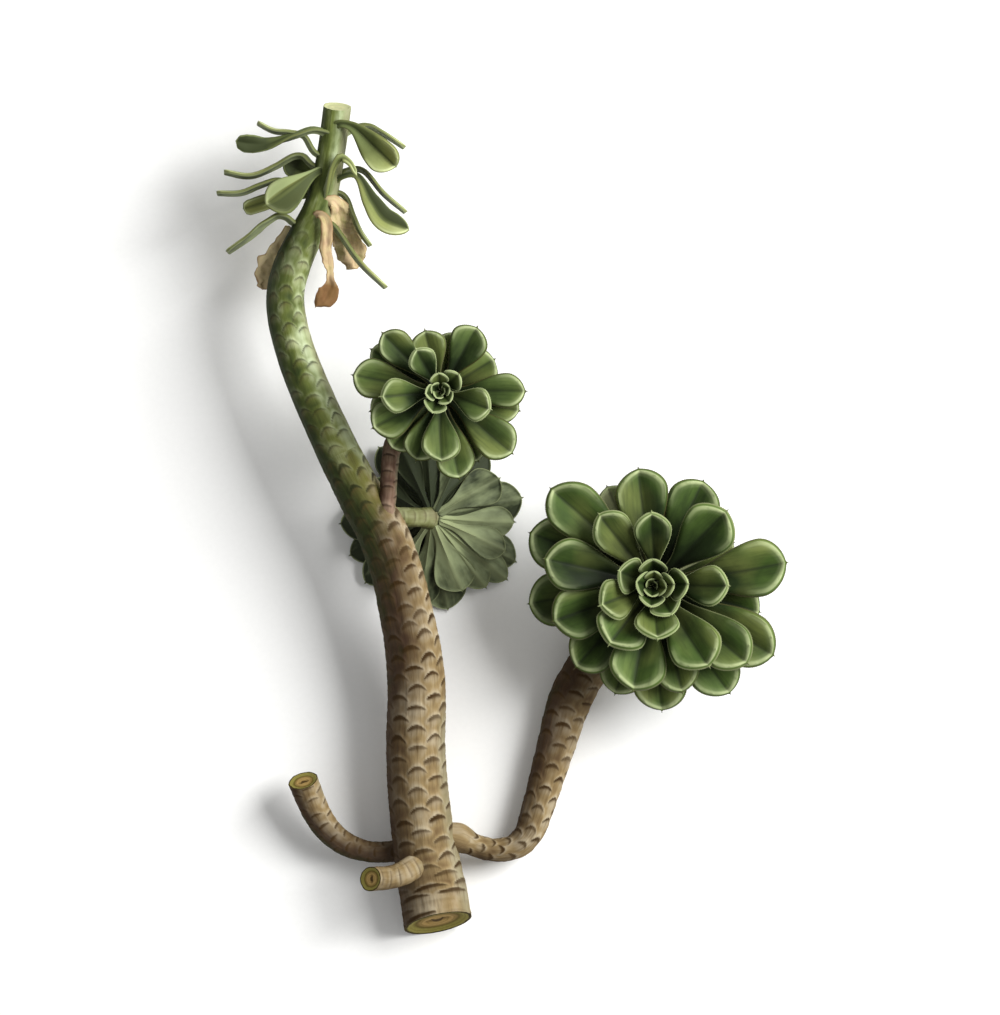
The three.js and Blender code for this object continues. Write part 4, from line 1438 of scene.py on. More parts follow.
@dataclass
class Rosette:
    """Leaves round a short core, each listed by azimuth, reach, width and rank."""

    name: str
    centre: Point
    facing: int  # 1 for up, -1 for down
    core_radius: float
    core_height: float
    root_pitch: tuple[float, float]  # degrees, of the youngest leaf and of the oldest
    tip_pitch: tuple[float, float]
    form: BladeForm
    leaves: list[Point]
    seed: int
    bud_shift: tuple[float, float] = (0.0, 0.0)  # of the youngest leaf, in mm
    root_lift: float = 0.0  # how far the oldest leaves' roots are pulled up the core, in mm
    pale_leaves: tuple[int, ...] = ()  # numbers of the leaves that have faded
    tone: float = 0.45
    tone_range: float = 0.3
    sun: float = 0.1  # painted light: how much lighter the leaves on the lit side are
    rank_painted_light: float = 0.0  # painted shade: how much lighter the oldest, outermost leaves are than the youngest, deeper ones
    split: float = 0.25  # painted light: how much lighter one half of a leaf is than the other
    painted_light_azimuth: float = -15.0  # leaves on this side are painted lighter

    PAINTED_HALF_AZIMUTH = 135.0  # halves of leaves that face this way are painted lighter
    MIDDLE_RANK = 0.88
    ROOT_HEIGHTS = 0.85  # the youngest leaves start this far up the core
    ROOT_SPREAD = 0.45  # the oldest leaves start this far out, as a share of its radius
    ROOT_PART = 0.7  # share of a leaf's length that a lifted root bends
    PARTS = 96  # samples of a midrib
    BUD_RANK = 0.34  # leaves younger than this wrap round the bud
    BUD_BLEND = 0.12  # those a little older do so less and less
    SHIFTED_RANK = 0.6  # leaves younger than this are shifted with the bud
    WHOLE_REACH = 30.0  # leaves that reach less far are thinner and flatter

    def build(self, press: LeafPress) -> bpy.types.Object:
        """Model the rosette.

        Args:
            press: Makes the blades.

        Returns:
            The core and the leaves as one object.
        """
        rng = np.random.default_rng(self.seed)
        parts = [self._core()]
        for number, (azimuth, reach, width, rank) in enumerate(self.leaves):
            midrib, length = self._midrib(azimuth, reach, rank)
            draw = rng.uniform(-1, 1, 4)
            small = min(1.0, reach / self.WHOLE_REACH)
            older = smoothstep(np.array(rank), self.BUD_RANK, self.BUD_RANK + self.BUD_BLEND)
            bud = 1 - float(older)
            painted_glow = math.sin(math.radians(azimuth - self.PAINTED_HALF_AZIMUTH))
            form = replace(
                self.form,
                width=width,
                fold=self.form.fold * (1 - 0.5 * bud),
                thickness=self.form.thickness * (0.5 + 0.5 * small),
                cup=self.form.cup * small,
                crest=self.form.crest * (1 - 0.6 * bud),
                roll=self.form.roll * (1 - 0.7 * bud),
                wrap=1.3 * bud / width,
                mucro=self.form.mucro * (0.35 + 0.65 * small),
                teeth=self.form.teeth * (0.6 + 0.4 * small),
                side_bend=3.0 * draw[0] * rank,
                twist=6.0 * draw[1] * rank,
                ripple=0.3 * rank * (1 + draw[2]),
                age=rank,
                split=self.split * self.facing * painted_glow,
            )
            # Each leaf's tone is random, plus painted light on one side and painted shade on the
            # younger, deeper leaves
            tone = self.tone + self.tone_range * draw[3]
            tone += self.sun * math.cos(math.radians(azimuth - self.painted_light_azimuth))
            tone += self.rank_painted_light * (rank - self.MIDDLE_RANK)
            tone = 1.0 if number in self.pale_leaves else min(tone, MOST_TONE)
            parts.extend(press.press(midrib, length, form, tone))
        return join(self.name, parts)

    def _midrib(
        self, azimuth: float, reach: float, rank: float
    ) -> tuple[Callable[[Array], tuple[Array, Array, Array]], float]:
        """Arc of one leaf's midrib, whose pitch changes evenly from root to tip.

        Args:
            azimuth: Degrees from +X.
            reach: Distance of the tip from the rosette's axis.
            rank: From 0, the youngest, to 1, the oldest.

        Returns:
            The midrib as LeafPress.press wants it, and its length.
        """
        turn = math.radians(azimuth)
        outward = np.array([math.cos(turn), math.sin(turn), 0.0])
        axis = UP * self.facing
        root = self.core_radius * self.ROOT_SPREAD * rank
        low = self.root_pitch[0] + (self.root_pitch[1] - self.root_pitch[0]) * rank
        high = self.tip_pitch[0] + (self.tip_pitch[1] - self.tip_pitch[0]) * rank
        # The arc's outward and upward parts, for a length of one
        shares = (np.arange(self.PARTS) + 0.5) / self.PARTS
        pitch = np.radians(low + (high - low) * shares)
        run = np.concatenate([[0.0], np.cumsum(np.cos(pitch))]) / self.PARTS
        rise = np.concatenate([[0.0], np.cumsum(np.sin(pitch))]) / self.PARTS
        length = (reach - root) / run[-1]
        marks = np.linspace(0, 1, self.PARTS + 1)
        height = self.core_height * self.ROOT_HEIGHTS * (1 - rank) + self.form.thickness
        young = max(0.0, 1 - rank / self.SHIFTED_RANK)
        shift = np.array([self.bud_shift[0], self.bud_shift[1], 0.0]) * young
        centre = np.array(self.centre) + SHIFT + shift

        def midrib(lengths: Array) -> tuple[Array, Array, Array]:
            """Places, directions and face directions at lengths along the leaf."""
            place = lengths / length
            extra = np.clip(place - 1, 0, None) * length
            slope = np.radians(low + (high - low) * np.clip(place, 0, 1))
            far = np.interp(place, marks, run) * length + root + extra * np.cos(slope)
            up = np.interp(place, marks, rise) * length + height + extra * np.sin(slope)
            # A lifted root bends back to the core
            near = np.clip(1 - place / self.ROOT_PART, 0, 1)
            up = up - self.root_lift * rank * near**2
            slope = slope + np.arctan(self.root_lift * rank * 2 * near / (self.ROOT_PART * length))
            places = centre + far[:, None] * outward + up[:, None] * axis
            directions = np.cos(slope)[:, None] * outward + np.sin(slope)[:, None] * axis
            faces = square_to(np.broadcast_to(axis, directions.shape), directions)
            return places, directions, faces

        return midrib, length

    def _core(self) -> bpy.types.Object:
        """Short rounded cone that the leaves grow from, hidden by them.

        Returns:
            The core's object, with the attributes that leaves have.
        """
        deselect()
        bpy.ops.mesh.primitive_cone_add(
            vertices=32, radius1=self.core_radius * 0.9, radius2=self.core_radius * 0.3, depth=1
        )
        core = bpy.context.active_object
        raw = get_places(core.data)
        tall = self.core_height * self.ROOT_HEIGHTS + self.form.thickness
        raw[:, 2] = (raw[:, 2] + 0.5) * tall * self.facing
        set_places(core.data, raw + np.array(self.centre) + SHIFT)
        if self.facing < 0:
            core.data.flip_normals()
        set_vector(core.data, "leaf_place", raw)
        set_values(
            core.data,
            leaf_rim=1.0,
            leaf_crest=1.0,
            leaf_mid=1.0,
            leaf_along=0.0,
            leaf_top=1.0,
            leaf_tone=0.0,
            leaf_age=1.0,
        )
        return core


class LeafStyle(Enum):
    """Ways in which a single leaf of the green top is bent, folded or dried, with painted shade or
    light.
    """

    EDGE_ON = BladeForm(
        width=12, thickness=2.4, fold=0.02, crest=0.1, roll=0.0, cup=0.0, taper=-0.1, teeth=0.0,
        mucro=0.3,
        profile=((0, 0.4), (0.3, 0.55), (0.7, 1.0), (0.86, 1.0), (0.95, 0.8), (0.985, 0.5), (1, 0)),
    )
    FOLDED = BladeForm(
        width=20, thickness=2.6, fold=1.2, crest=0.6, roll=0.6, cup=0.3, teeth=0.3, split=-0.08,
        mucro=0.9,
    )
    RIDGED = BladeForm(
        width=20, thickness=2.6, fold=-0.6, crest=0.5, roll=0.6, cup=0.3, teeth=0.3, split=0.75,
        palest=1.0,
    )
    SHADED = BladeForm(width=12, thickness=2.2, fold=0.5, crest=0.2, roll=0.3, painted_tip_shade=2.6)
    BOAT = BladeForm(
        width=15, thickness=2.5, fold=0.7, crest=0.4, roll=0.3, cup=1.5, teeth=0.3, split=0.8,
        mucro=0.7,
    )
    CUPPED = BladeForm(
        width=10, thickness=2.6, fold=0.5, crest=0.2, roll=0.2, cup=1.5, twist=95, teeth=0.0,
        mucro=0.5, painted_tip_shade=2.4,
        profile=(
            (0, 0.55), (0.3, 0.6), (0.6, 0.62), (0.72, 0.7), (0.82, 0.95), (0.9, 1.0),
            (0.97, 0.7), (1, 0),
        ),
    )
    HOOKED = BladeForm(
        width=5, thickness=2.2, fold=0.3, crest=0.2, roll=0.3, teeth=0.0, mucro=0.8,
        profile=((0, 0.7), (0.3, 0.85), (0.7, 1.0), (0.92, 0.8), (1, 0)),
    )
    BLUNT = BladeForm(
        width=9, thickness=2.2, fold=0.6, crest=0.3, roll=0.3, teeth=0.0, mucro=0.5,
        profile=((0, 0.5), (0.4, 0.7), (0.75, 1.0), (0.93, 0.95), (0.98, 0.7), (1, 0)),
    )
    BROAD_DRY = BladeForm(
        width=14, thickness=1.0, fold=0.35, crest=0.2, roll=0.3, crumple=2.4, ripple=1.2,
        teeth=0.0, mucro=0.5,
        profile=(
            (0, 0.3), (0.15, 0.42), (0.35, 0.75), (0.45, 0.7), (0.6, 1.0), (0.72, 0.88),
            (0.82, 0.95), (0.92, 0.6), (0.97, 0.5), (1, 0),
        ),
    )
    BLEACHED_DRY = replace(BROAD_DRY, age=0.0)
    CURLED_DRY = BladeForm(
        width=11, thickness=1.0, fold=0.5, crest=0.2, roll=0.3, crumple=1.4, ripple=0.8, twist=30,
        teeth=0.0, mucro=0.5,
        profile=(
            (0, 0.25), (0.07, 0.35), (0.16, 0.5), (0.3, 0.55), (0.52, 0.6), (0.66, 0.4),
            (0.71, 0.38), (0.77, 0.85), (0.84, 1.2), (0.91, 1.05), (0.96, 0.5), (1, 0),
        ),
    )


# Rosette leaves: azimuth, reach, width, and rank from 0, the youngest and steepest, to 1
LARGE_ROSETTE = Rosette(
    "large_rosette_leaves",
    centre=(76.8, -31.8, 37.35),
    facing=1,
    core_radius=8.4,
    core_height=24,
    root_pitch=(78, 12),
    tip_pitch=(62, -14),
    form=BladeForm(width=25, thickness=2.4, fold=0.5),
    leaves=[
        (20, 2.4, 4.5, 0),
        (135, 3.8, 6, 0.03),
        (262, 5.4, 9, 0.05),
        (350, 6.6, 9, 0.06),
        (88, 7.4, 9.5, 0.08),
        (5, 10.2, 12.5, 0.11),
        (168, 9, 12.5, 0.13),
        (262, 10.8, 13, 0.17),
        (93, 13.3, 14.5, 0.22),
        (3, 16.8, 16.5, 0.26),
        (299, 17, 17, 0.3),
        (160, 19.5, 19, 0.36),
        (271, 27, 22.5, 0.42),
        (199, 29.5, 21, 0.46),
        (93, 36, 19, 0.52),
        (357, 36, 20.5, 0.55),
        (233, 38, 27.5, 0.58),
        (131, 45, 21, 0.61),
        (301, 48.5, 27, 0.64),
        (46, 50.5, 28, 0.68),
        (318, 60, 26, 0.71),
        (167, 57, 26.5, 0.72),
        (256, 54, 29, 0.75),
        (201, 54.5, 27, 0.79),
        (285, 55.5, 22.5, 0.82),
        (136, 70.5, 27.5, 0.82),
        (330, 68.5, 27.5, 0.84),
        (101, 58, 27, 0.86),
        (7, 66, 29, 0.87),
        (65, 56.5, 27, 0.92),
        (224, 57.5, 25, 0.9),
        (157, 67.5, 28, 0.91),
        (188, 64, 27, 0.95),
        (302, 66, 26, 0.93),
        (251, 58.5, 24, 0.96),
        (271, 63.5, 27, 0.98),
        (346, 54, 25, 0.97),
        (118, 54, 20, 1),
        (86, 44, 20, 1),
        (26, 44, 18, 1),
    ],
    seed=11,
    bud_shift=(-1.7, -0.9),
    pale_leaves=(37, 38, 39),
    tone=0.33,
)
SMALL_ROSETTE = Rosette(
    "small_rosette_leaves",
    centre=(-30.25, 63.8, 62.85),
    facing=1,
    core_radius=4.7,
    core_height=13,
    root_pitch=(78, 14),
    tip_pitch=(62, -16),
    form=BladeForm(width=18, thickness=2.2, fold=0.5),
    leaves=[
        (59, 36.5, 19.5, 0.86),
        (30, 31, 20, 0.96),
        (2, 42, 17.5, 0.84),
        (344, 40, 16.5, 0.95),
        (319, 47, 21, 0.88),
        (283, 44, 19.5, 0.92),
        (269, 35, 19.5, 0.72),
        (250, 36, 18, 0.9),
        (210, 38, 20, 0.84),
        (193, 36, 16, 0.97),
        (169, 44, 20, 0.88),
        (151, 40, 16, 1),
        (135, 40.5, 17, 0.82),
        (103, 31, 17.5, 0.8),
        (78, 30, 15, 1),
        (301, 39, 17, 0.99),
        (230, 37, 17, 0.99),
        (341, 26.5, 17, 0.56),
        (187, 29.5, 17.5, 0.58),
        (121, 24, 14.5, 0.52),
        (249, 11.5, 12, 0.3),
        (40, 12.5, 12, 0.3),
        (95, 9, 9.5, 0.2),
        (190, 7.5, 8.5, 0.15),
        (310, 7.5, 9, 0.16),
        (20, 5, 7, 0.08),
        (150, 5, 6.5, 0.1),
        (240, 4, 6, 0.05),
        (340, 2.4, 4.5, 0),
    ],
    seed=12,
    tone=0.68,
)
UNDER_ROSETTE = Rosette(
    "under_rosette_leaves",
    centre=(-34.75, 1, 21.9),
    facing=-1,
    core_radius=5.8,
    core_height=7,
    root_pitch=(70, 9),
    tip_pitch=(44, 10),
    form=BladeForm(width=16, thickness=2.2, fold=0.35, crest=0.3, teeth=0.45),
    leaves=[
        (355, 41, 16, 0.94),
        (338, 40, 16, 0.98),
        (290, 39.5, 21, 0.92),
        (33, 39, 20, 0.96),
        (66, 37, 15, 1),
        (95, 38, 13, 0.94),
        (113, 38, 13, 1),
        (148, 36, 14, 0.96),
        (198, 36, 15, 1),
        (236, 38, 15, 0.96),
        (12, 46, 21, 0.8),
        (334, 47, 18, 0.76),
        (320, 48.5, 15, 0.82),
        (308, 44, 16, 0.84),
        (281, 46.5, 22, 0.78),
        (262, 45, 18, 0.84),
        (222, 47, 17, 0.8),
        (203, 45.5, 16, 0.76),
        (184, 46.5, 18, 0.82),
        (128, 44.5, 16, 0.8),
        (86, 43, 16, 0.82),
        (50, 43, 17, 0.8),
        (160, 43, 16, 0.78),
        (0, 26, 15, 0.5),
        (137, 25, 15, 0.52),
        (250, 26, 15, 0.48),
        (75, 19, 12, 0.36),
        (200, 17, 12, 0.32),
        (310, 14, 10, 0.24),
        (30, 9, 8, 0.12),
        (190, 7, 7, 0.04),
    ],
    seed=13,
    root_lift=11.0,
    tone=0.14,
    tone_range=0.12,
    sun=0.78,
    rank_painted_light=3.0,
    split=0.12,
    painted_light_azimuth=-55.0,
)

# Leaves of the green top: line from inside the stem to the tip, then width, thickness, the
# direction that the face looks in, and the style
SHOOT_LEAVES = [
    (
        [
            (-86, 182, 44), (-92.3, 184.5, 45), (-98, 192.8, 46), (-105.8, 194.6, 46),
            (-113.3, 195.3, 46), (-121.5, 199.5, 45),
        ],
        13, 2.4, (0.3, 1, 0), LeafStyle.EDGE_ON,
    ),
    (
        [
            (-84, 193.5, 47), (-93.8, 195.5, 51), (-103.3, 192.3, 52), (-117.8, 187.4, 51),
            (-125.5, 188, 50), (-132.5, 189.5, 50),
        ],
        10, 2.6, (-0.1, 0.95, 0.3), LeafStyle.CUPPED,
    ),
    (
        [
            (-87, 175.5, 43), (-93.9, 178.7, 42), (-98.5, 183.2, 41), (-104, 183.3, 40),
            (-114.3, 177.7, 40), (-125.8, 173.2, 41), (-138.8, 175.3, 41),
        ],
        14, 2.6, (0.1, 1, 0), LeafStyle.EDGE_ON,
    ),
    (
        [
            (-88, 168, 40), (-96, 173, 36), (-103, 176.5, 35), (-109, 179.5, 35),
        ],
        13, 2.2, (0.3, 0.2, 0.9), LeafStyle.SHADED,
    ),
    (
        [
            (-87, 176.5, 46), (-92, 174.3, 51.5), (-104, 166.5, 55), (-117.5, 157, 54),
        ],
        19, 2.6, (0.1, 0.4, 0.9), LeafStyle.RIDGED,
    ),
    (
        [
            (-89, 164, 40), (-101, 163, 36), (-114, 160.5, 35), (-129.5, 156, 36),
        ],
        9, 2.2, (0.1, -0.4, 0.9), LeafStyle.BLUNT,
    ),
    (
        [
            (-89, 167, 42), (-103.3, 169.6, 41), (-112.8, 171, 42), (-121.4, 168.2, 43),
            (-130.3, 164.6, 43), (-142.6, 164.6, 42),
        ],
        13, 2.5, (0, 1, 0), LeafStyle.EDGE_ON,
    ),
    (
        [
            (-95, 146.5, 43), (-103.3, 149.8, 44), (-107, 152.6, 45), (-112, 153.3, 45),
            (-117.8, 149.8, 45), (-125.3, 143.2, 44), (-138, 134.5, 43),
        ],
        14, 2.6, (0.3, 1, 0), LeafStyle.EDGE_ON,
    ),
    (
        [
            (-81, 193, 42), (-71, 198.2, 40), (-65.8, 198.3, 39), (-59.3, 194.8, 39),
            (-47.5, 187, 40),
        ],
        12, 2.4, (0.5, 1, 0), LeafStyle.EDGE_ON,
    ),
    (
        [
            (-84, 195.5, 47.5), (-80.5, 197.5, 52.5), (-74, 195.8, 54), (-62, 185, 53.5),
            (-52.5, 176, 51),
        ],
        17, 2.6, (-0.2, -0.2, 0.95), LeafStyle.FOLDED,
    ),
    (
        [
            (-86, 170, 42), (-79, 175.5, 41), (-73, 176.8, 41), (-67.8, 175.2, 42),
            (-58, 163.8, 43), (-46.8, 154.3, 42),
        ],
        12, 2.3, (0.7, 0.7, 0), LeafStyle.EDGE_ON,
    ),
    (
        [
            (-87.5, 156.5, 45), (-85.6, 166, 52.5), (-83, 176, 56), (-79.5, 180.3, 57),
            (-75.5, 178, 57), (-72.3, 170.5, 56),
        ],
        5.5, 2.6, (0.8, 0.2, 0.5), LeafStyle.HOOKED,
    ),
    (
        [
            (-85, 167, 45), (-79.5, 171.3, 49), (-72.5, 172, 50.5), (-65, 158.5, 51),
            (-58.5, 149.3, 50), (-46.5, 144.3, 48),
        ],
        12.5, 2.5, (0.2, 0.2, 0.9), LeafStyle.BOAT,
    ),
    (
        [
            (-87, 164, 43), (-80.3, 164.6, 43), (-76.4, 161.5, 43), (-73, 152.7, 43),
            (-69.3, 144.2, 43), (-64.3, 137.3, 43),
        ],
        11, 2.3, (0.9, 0.4, 0), LeafStyle.EDGE_ON,
    ),
    (
        [
            (-92, 150, 44), (-84, 148.8, 45), (-78.8, 142.6, 45.5), (-73, 133.7, 45.5),
            (-67.8, 127.2, 45.5), (-56.5, 116.5, 45),
        ],
        12, 2.4, (0.8, 0.6, 0), LeafStyle.EDGE_ON,
    ),
]

# Withered leaves, listed in the same way
WITHERED_LEAVES = [
    (
        [
            (-106, 147, 38.6), (-109.5, 139.5, 35.5), (-116.3, 127, 33.5), (-120, 115.5, 33.5),
        ],
        13, 1.6, (0.1, 0.1, 0.98), LeafStyle.BLEACHED_DRY,
    ),
    (
        [
            (-94, 151, 50), (-91.2, 152.6, 53.2), (-88.2, 150.4, 54.6), (-87, 144, 54.2),
            (-87.6, 136, 53), (-85.4, 124, 50), (-86.6, 115, 48), (-93.2, 106.3, 49),
        ],
        11, 1.6, (0.3, 0.1, 0.95), LeafStyle.CURLED_DRY,
    ),
    (
        [
            (-88, 157.8, 48.6), (-84.7, 159.2, 50.4), (-81.5, 156.4, 47.5),
            (-79.9, 149.5, 41.5), (-77.8, 140.5, 36), (-75, 132, 33.5), (-72.8, 125.5, 33),
        ],
        17, 1.6, (0.25, 0.1, 0.95), LeafStyle.BROAD_DRY,
    ),
]

# Scars and finishes that differ from the usual ones
STALK_SCARS = ScarPattern(
    columns=4, pitch=5.6, ledge=0.15, arch=0.4, line=0.7, strength=0.5, seed=8
)
STALK_GREENING = (-2.0, -1.0)  # the stalk is green from its start
# A paler painted crest highlight and lighter greens, for the small rosette
UPPER_LEAF = LeafFinish(
    name="pale_crested_leaf_skin",
    middle="#46562a",
    light="#6f8047",
    crest="#b1bb8d",
    young_edge="#a5b080",
)
# Leaves of the green top; their pale also paints a lit half, and the crease colour paints the shade
# on a dark half
YOUNG_LEAF = LeafFinish(
    name="young_aeonium_leaf_skin",
    root="#667144",
    deep="#5d6539",
    middle="#858d55",
    light="#b0b582",
    warm="#858647",
    outer="#8e9660",
    crest="#c0c896",
    crease_shade="#3d442a",
    old_edge="#676b3f",
    faded_and_lit_pale="#b4c287",
)
STALK_SKIN = BarkFinish(
    name="pale_stalk_skin",
    green="#62653a",
    sage="#868960",
    painted_sheen="#8f916c",
    deep_green="#494e2a",
    shaded_green="#34391d",
    green_scar="#3b3319",
)
RED_BARK = BarkFinish(
    name="reddish_young_bark",
    pale="#96806c",
    middle="#6c5446",
    dark="#46332b",
    scar="#2b1c15",
)


@dataclass
class FreeLeaf:
    """A leaf along its own line, from inside the stem to the tip, in mm."""

    line: list[Point]
    width: float
    thickness: float
    face: Point
    style: LeafStyle

    def build(self, press: LeafPress, tone: float) -> list[bpy.types.Object]:
        """Model the leaf.

        Args:
            press: Makes the blade.
            tone: How light its green is.

        Returns:
            The leaf's objects.
        """
        line = SmoothLine(self.line)
        wanted = np.array(self.face)

        def midrib(lengths: Array) -> tuple[Array, Array, Array]:
            """Places, directions and face directions at lengths along the leaf."""
            places, directions, _ = line.at(lengths)
            faces = square_to(np.broadcast_to(wanted, directions.shape), directions)
            return places, directions, faces

        sized = replace(self.style.value, width=self.width, thickness=self.thickness)
        return press.press(midrib, line.length, sized, tone)


@dataclass
class WoodyBranch:
    """Brown stem, the branches and stubs that leave it, and the collar of the hidden rosette."""

    bark: bpy.types.Material
    red_bark: bpy.types.Material
    stalk: bpy.types.Material
    cut: bpy.types.Material
    trunk_scars: ScarPattern = ScarPattern(
        columns=10, pitch=10.6, ledge=0.4, wide_below=8, seed=409
    )
    branch_scars: ScarPattern = ScarPattern(
        columns=8, pitch=10.4, ledge=0.4, arch=2.0, line=1.9, bare_below=17, seed=2
    )
    left_scars: ScarPattern = ScarPattern(
        columns=6, pitch=8, ledge=0.35, arch=1.2, line=1.2, strength=0.9, reach=0.95, seed=3
    )
    stub_scars: ScarPattern = ScarPattern(
        columns=3, pitch=5.2, ledge=0.3, arch=0.8, line=0.8, strength=0.55, reach=0.9, seed=6
    )
    twig_scars: ScarPattern = ScarPattern(
        columns=4, pitch=8, ledge=0.3, arch=0.8, line=0.9, strength=0.8, reach=1.1, seed=4
    )
    # Painted shade along the brown stem and the branches: lengths in mm, and how much darker
    trunk_dimming: tuple[tuple[float, float], ...] = (
        (105, 0), (145, 0.28), (205, 0.42), (246, 0.2),
    )
    right_dimming: tuple[tuple[float, float], ...] = (
        (20, 0), (30, 0.16), (55, 0.1), (80, 0.08), (105, 0.32),
    )
    left_dimming: tuple[tuple[float, float], ...] = ((0, 0.45), (45, 0.48), (68, 0.08))

    def build(self) -> None:
        """Model the pieces, hang them on the body and hide the solid they stand for."""
        brown = partial(Stem, bark=self.bark, cut=self.cut)
        trunk = brown(
            "trunk",
            SmoothLine(MAIN_STEM),
            self.trunk_scars,
            end=WOODY_LENGTH,
            cut_start=CUT_FOOT,
            greening=GREENING,
            joint=WOODY_LENGTH,
            dimming=self.trunk_dimming,
        )
        right = brown(
            "right_branch",
            SmoothLine(RIGHT_BRANCH),
            self.branch_scars,
            cut_end=UP,
            flare=1.6,
            flare_at=14,
            dimming=self.right_dimming,
        )
        left = brown(
            "left_branch",
            SmoothLine(LEFT_BRANCH),
            self.left_scars,
            cut_end=CUT_LEFT,
            grain=0.5,
            dimming=self.left_dimming,
        )
        stub = brown(
            "front_stub", SmoothLine(FRONT_STUB), self.stub_scars, cut_end=CUT_STUB, grain=0.5
        )
        twig = Stem(
            "twig",
            SmoothLine(TWIG),
            self.twig_scars,
            self.red_bark,
            self.cut,
            cut_end=UP,
            grain=0.5,
        )
        collar = Stem(
            "stalk_collar",
            SmoothLine(STALK),
            STALK_SCARS,
            self.stalk,
            self.cut,
            end=COLLAR_LENGTH,
            grain=0.5,
            greening=STALK_GREENING,
        )
        for stem in (trunk, right, left, stub, twig, collar):
            hand_in(stem.build(), "bark", "woody_stem")


@dataclass
class GreenTop:
    """Green end of the stem with its last leaves, some of them seen edge on."""

    bark: bpy.types.Material
    cut: bpy.types.Material
    leaf: bpy.types.Material
    press: LeafPress
    scars: ScarPattern = ScarPattern(
        columns=8, pitch=9.4, ledge=0.1, arch=3.2, line=1.1, strength=0.75, bare_above=378, seed=5
    )
    # Painted shade along the green stem: lengths in mm, and how much darker, with a little painted
    # light near the top cut
    dimming: tuple[tuple[float, float], ...] = (
        (246, 0.16), (275, 0.02), (320, 0.06), (345, 0.25), (362, 0.2), (374, -0.1),
    )

    TONE = 0.55  # how light the leaves are, and how much they differ
    TONE_RANGE = 0.33
    SEED = 17

    def build(self) -> None:
        """Model the stem and its leaves, hang them on the body and hide the solid they stand for.
        """
        stem = Stem(
            "green_stem",
            SmoothLine(MAIN_STEM),
            self.scars,
            self.bark,
            self.cut,
            start=WOODY_LENGTH,
            cut_end=CUT_TOP,
            grain=0.6,
            greening=GREENING,
            joint=WOODY_LENGTH,
            dimming=self.dimming,
        )
        hand_in(stem.build(), "green_stem", "green_shoot")
        rng = np.random.default_rng(self.SEED)
        leaves: list[bpy.types.Object] = []
        for row in SHOOT_LEAVES:
            tone = self.TONE + self.TONE_RANGE * rng.uniform(-1, 1)
            leaves.extend(FreeLeaf(*row).build(self.press, tone))
        whole = join("shoot_leaves", leaves)
        whole.data.materials.append(self.leaf)
        smooth_by_angle(whole, SHARPEST_FOLD)
        hand_in(whole, "green_stem", "green_shoot")


@dataclass
class RosetteGroup:
    """The three rosettes, and the stalk that the hidden one hangs from."""

    leaf: bpy.types.Material
    upper_leaf: bpy.types.Material
    stalk: bpy.types.Material
    cut: bpy.types.Material
    press: LeafPress

    def build(self) -> None:
        """Model the rosettes and the stalk, hang them on the body and hide the solids they stand
        for.
        """
        for rosette, skin, slot, node in (
            (LARGE_ROSETTE, self.leaf, "leaf_face", "rosette_large"),
            (SMALL_ROSETTE, self.upper_leaf, "leaf_face", "rosette_small"),
            (UNDER_ROSETTE, self.leaf, "leaf_back", "rosette_under"),
        ):
            piece = rosette.build(self.press)
            piece.data.materials.append(skin)
            smooth_by_angle(piece, SHARPEST_FOLD)
            hand_in(piece, slot, node)
        stalk = Stem(
            "green_stalk",
            SmoothLine(STALK),
            STALK_SCARS,
            self.stalk,
            self.cut,
            start=COLLAR_LENGTH,
            grain=0.5,
            flare=1.1,
            flare_at=30,
            greening=STALK_GREENING,
        )
        hand_in(stalk.build(), "leaf_back", "rosette_under")


@dataclass
class WitheredLeaves:
    """Three dried leaves that hang below the green ones."""

    skin: bpy.types.Material
    press: LeafPress
    browned: tuple[float, ...] = (0.3, 1.0, 0.2)  # how brown each tip is

    def build(self) -> None:
        """Model each leaf, hang it on the body and hide the solid it stands for."""
        for index, row in enumerate(WITHERED_LEAVES, start=1):
            brown = self.browned[index - 1]
            leaf = join(f"dry_leaf_{index}", FreeLeaf(*row).build(self.press, brown))
            leaf.data.materials.append(self.skin)
            smooth_by_angle(leaf, SHARPEST_CRUMPLE)
            hand_in(leaf, "withered_leaf", f"withered_leaf_{index}")


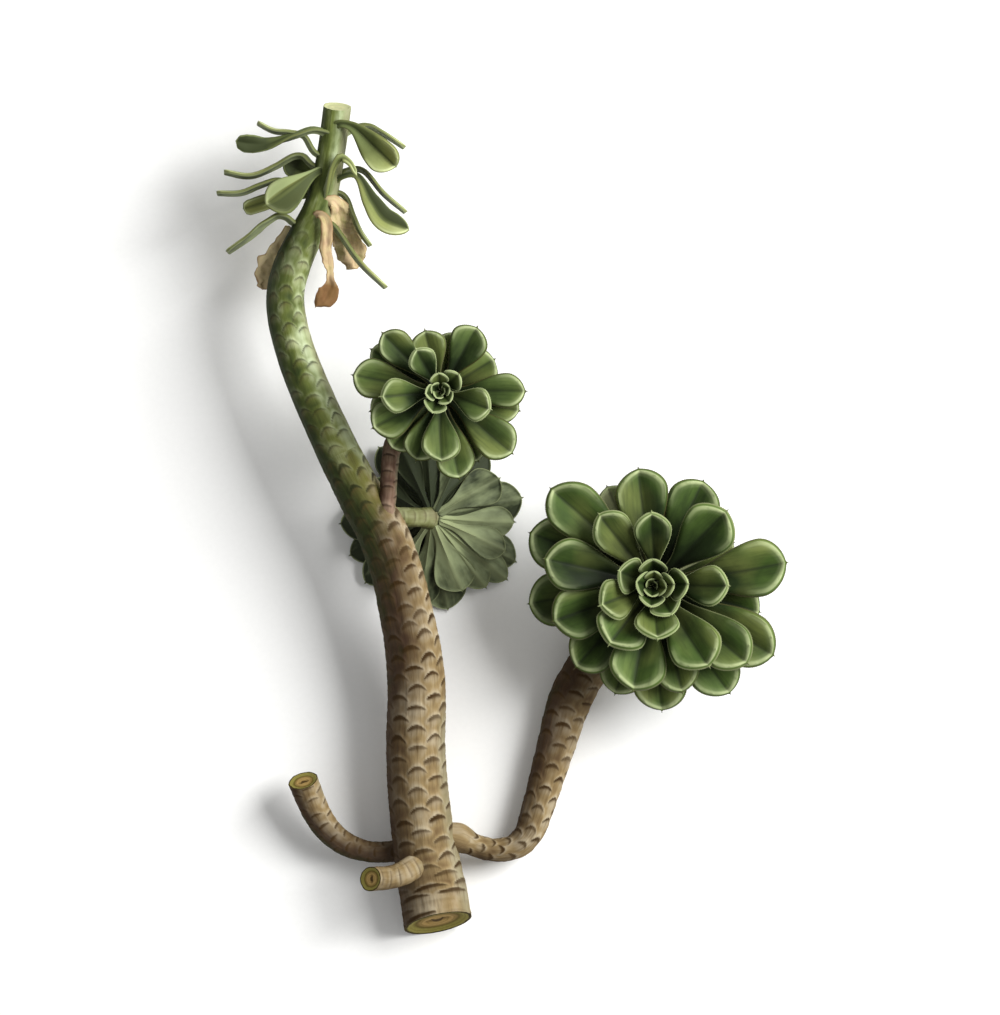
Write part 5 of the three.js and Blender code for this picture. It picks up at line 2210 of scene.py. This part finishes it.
@dataclass
class Studio:
    """Pale board, soft lights and a camera that looks straight down, sizes in mm."""

    aim: tuple[float, float] = (-0.6, 6.3)
    seen: float = 507.5  # height that the photograph takes in
    level: float = 40.0  # where that height is seen, above the board
    lens: float = 250.0
    sensor: float = 36.0
    board_size: float = 4.0  # metres
    key_place: Point = (1.2, 0.5, 1.2)  # metres
    key_size: float = 1.1
    key_power: float = 55.0
    sky: float = 0.44

    def build(self, board: bpy.types.Material) -> None:
        """Set the scene round the branch.

        Args:
            board: Material of the board.
        """
        deselect()
        bpy.ops.mesh.primitive_grid_add(x_subdivisions=4, y_subdivisions=4, size=self.board_size)
        floor = bpy.context.active_object
        floor.name = "board"
        floor.data.materials.append(board)
        self._light("key", self.key_place, self.key_size, self.key_power)
        world = bpy.data.worlds.new("soft_room")
        world.use_nodes = True
        backdrop = world.node_tree.nodes["Background"]
        backdrop.inputs["Color"].default_value = hex_colour("#ffffff")
        backdrop.inputs["Strength"].default_value = self.sky
        bpy.context.scene.world = world
        bpy.context.scene.view_settings.view_transform = "Standard"
        distance = self.seen * self.lens / self.sensor + self.level
        bpy.ops.object.camera_add(
            location=(self.aim[0] * MM, self.aim[1] * MM, distance * MM), rotation=(0, 0, 0)
        )
        camera = bpy.context.active_object
        camera.data.lens = self.lens
        camera.data.sensor_width = self.sensor
        camera.data.clip_end = 100
        bpy.context.scene.camera = camera

    @staticmethod
    def _light(name: str, place: Point, size: float, power: float) -> None:
        """Hang a square lamp that faces the middle of the board.

        Args:
            name: Name of the lamp.
            place: Its place in metres.
            size: Its side in metres.
            power: Its power in watts.
        """
        turn = Vector(place).to_track_quat("Z", "Y").to_euler()
        bpy.ops.object.light_add(type="AREA", location=place, rotation=turn)
        lamp = bpy.context.active_object
        lamp.name = name
        lamp.data.size = size
        lamp.data.energy = power


def main() -> None:
    """Build the branch and its studio, and note the sizes."""
    logging.basicConfig(level=logging.INFO, format="%(name)s: %(message)s")
    leaf = LeafFinish().make()
    shoot_leaf = YOUNG_LEAF.make()
    bark = BarkFinish().make()
    red_bark = RED_BARK.make()
    stalk = STALK_SKIN.make()
    cut = CutFinish().make()
    press = LeafPress(32, 48)
    WoodyBranch(bark, red_bark, stalk, cut).build()
    GreenTop(bark, cut, shoot_leaf, press).build()
    RosetteGroup(leaf, UPPER_LEAF.make(), stalk, cut, press).build()
    WitheredLeaves(WitheredFinish().make(), press).build()
    press.discard()
    Studio().build(BoardFinish().make())
    log.info("built %d leaf blades", press.made)


if __name__ == "__main__":
    main()
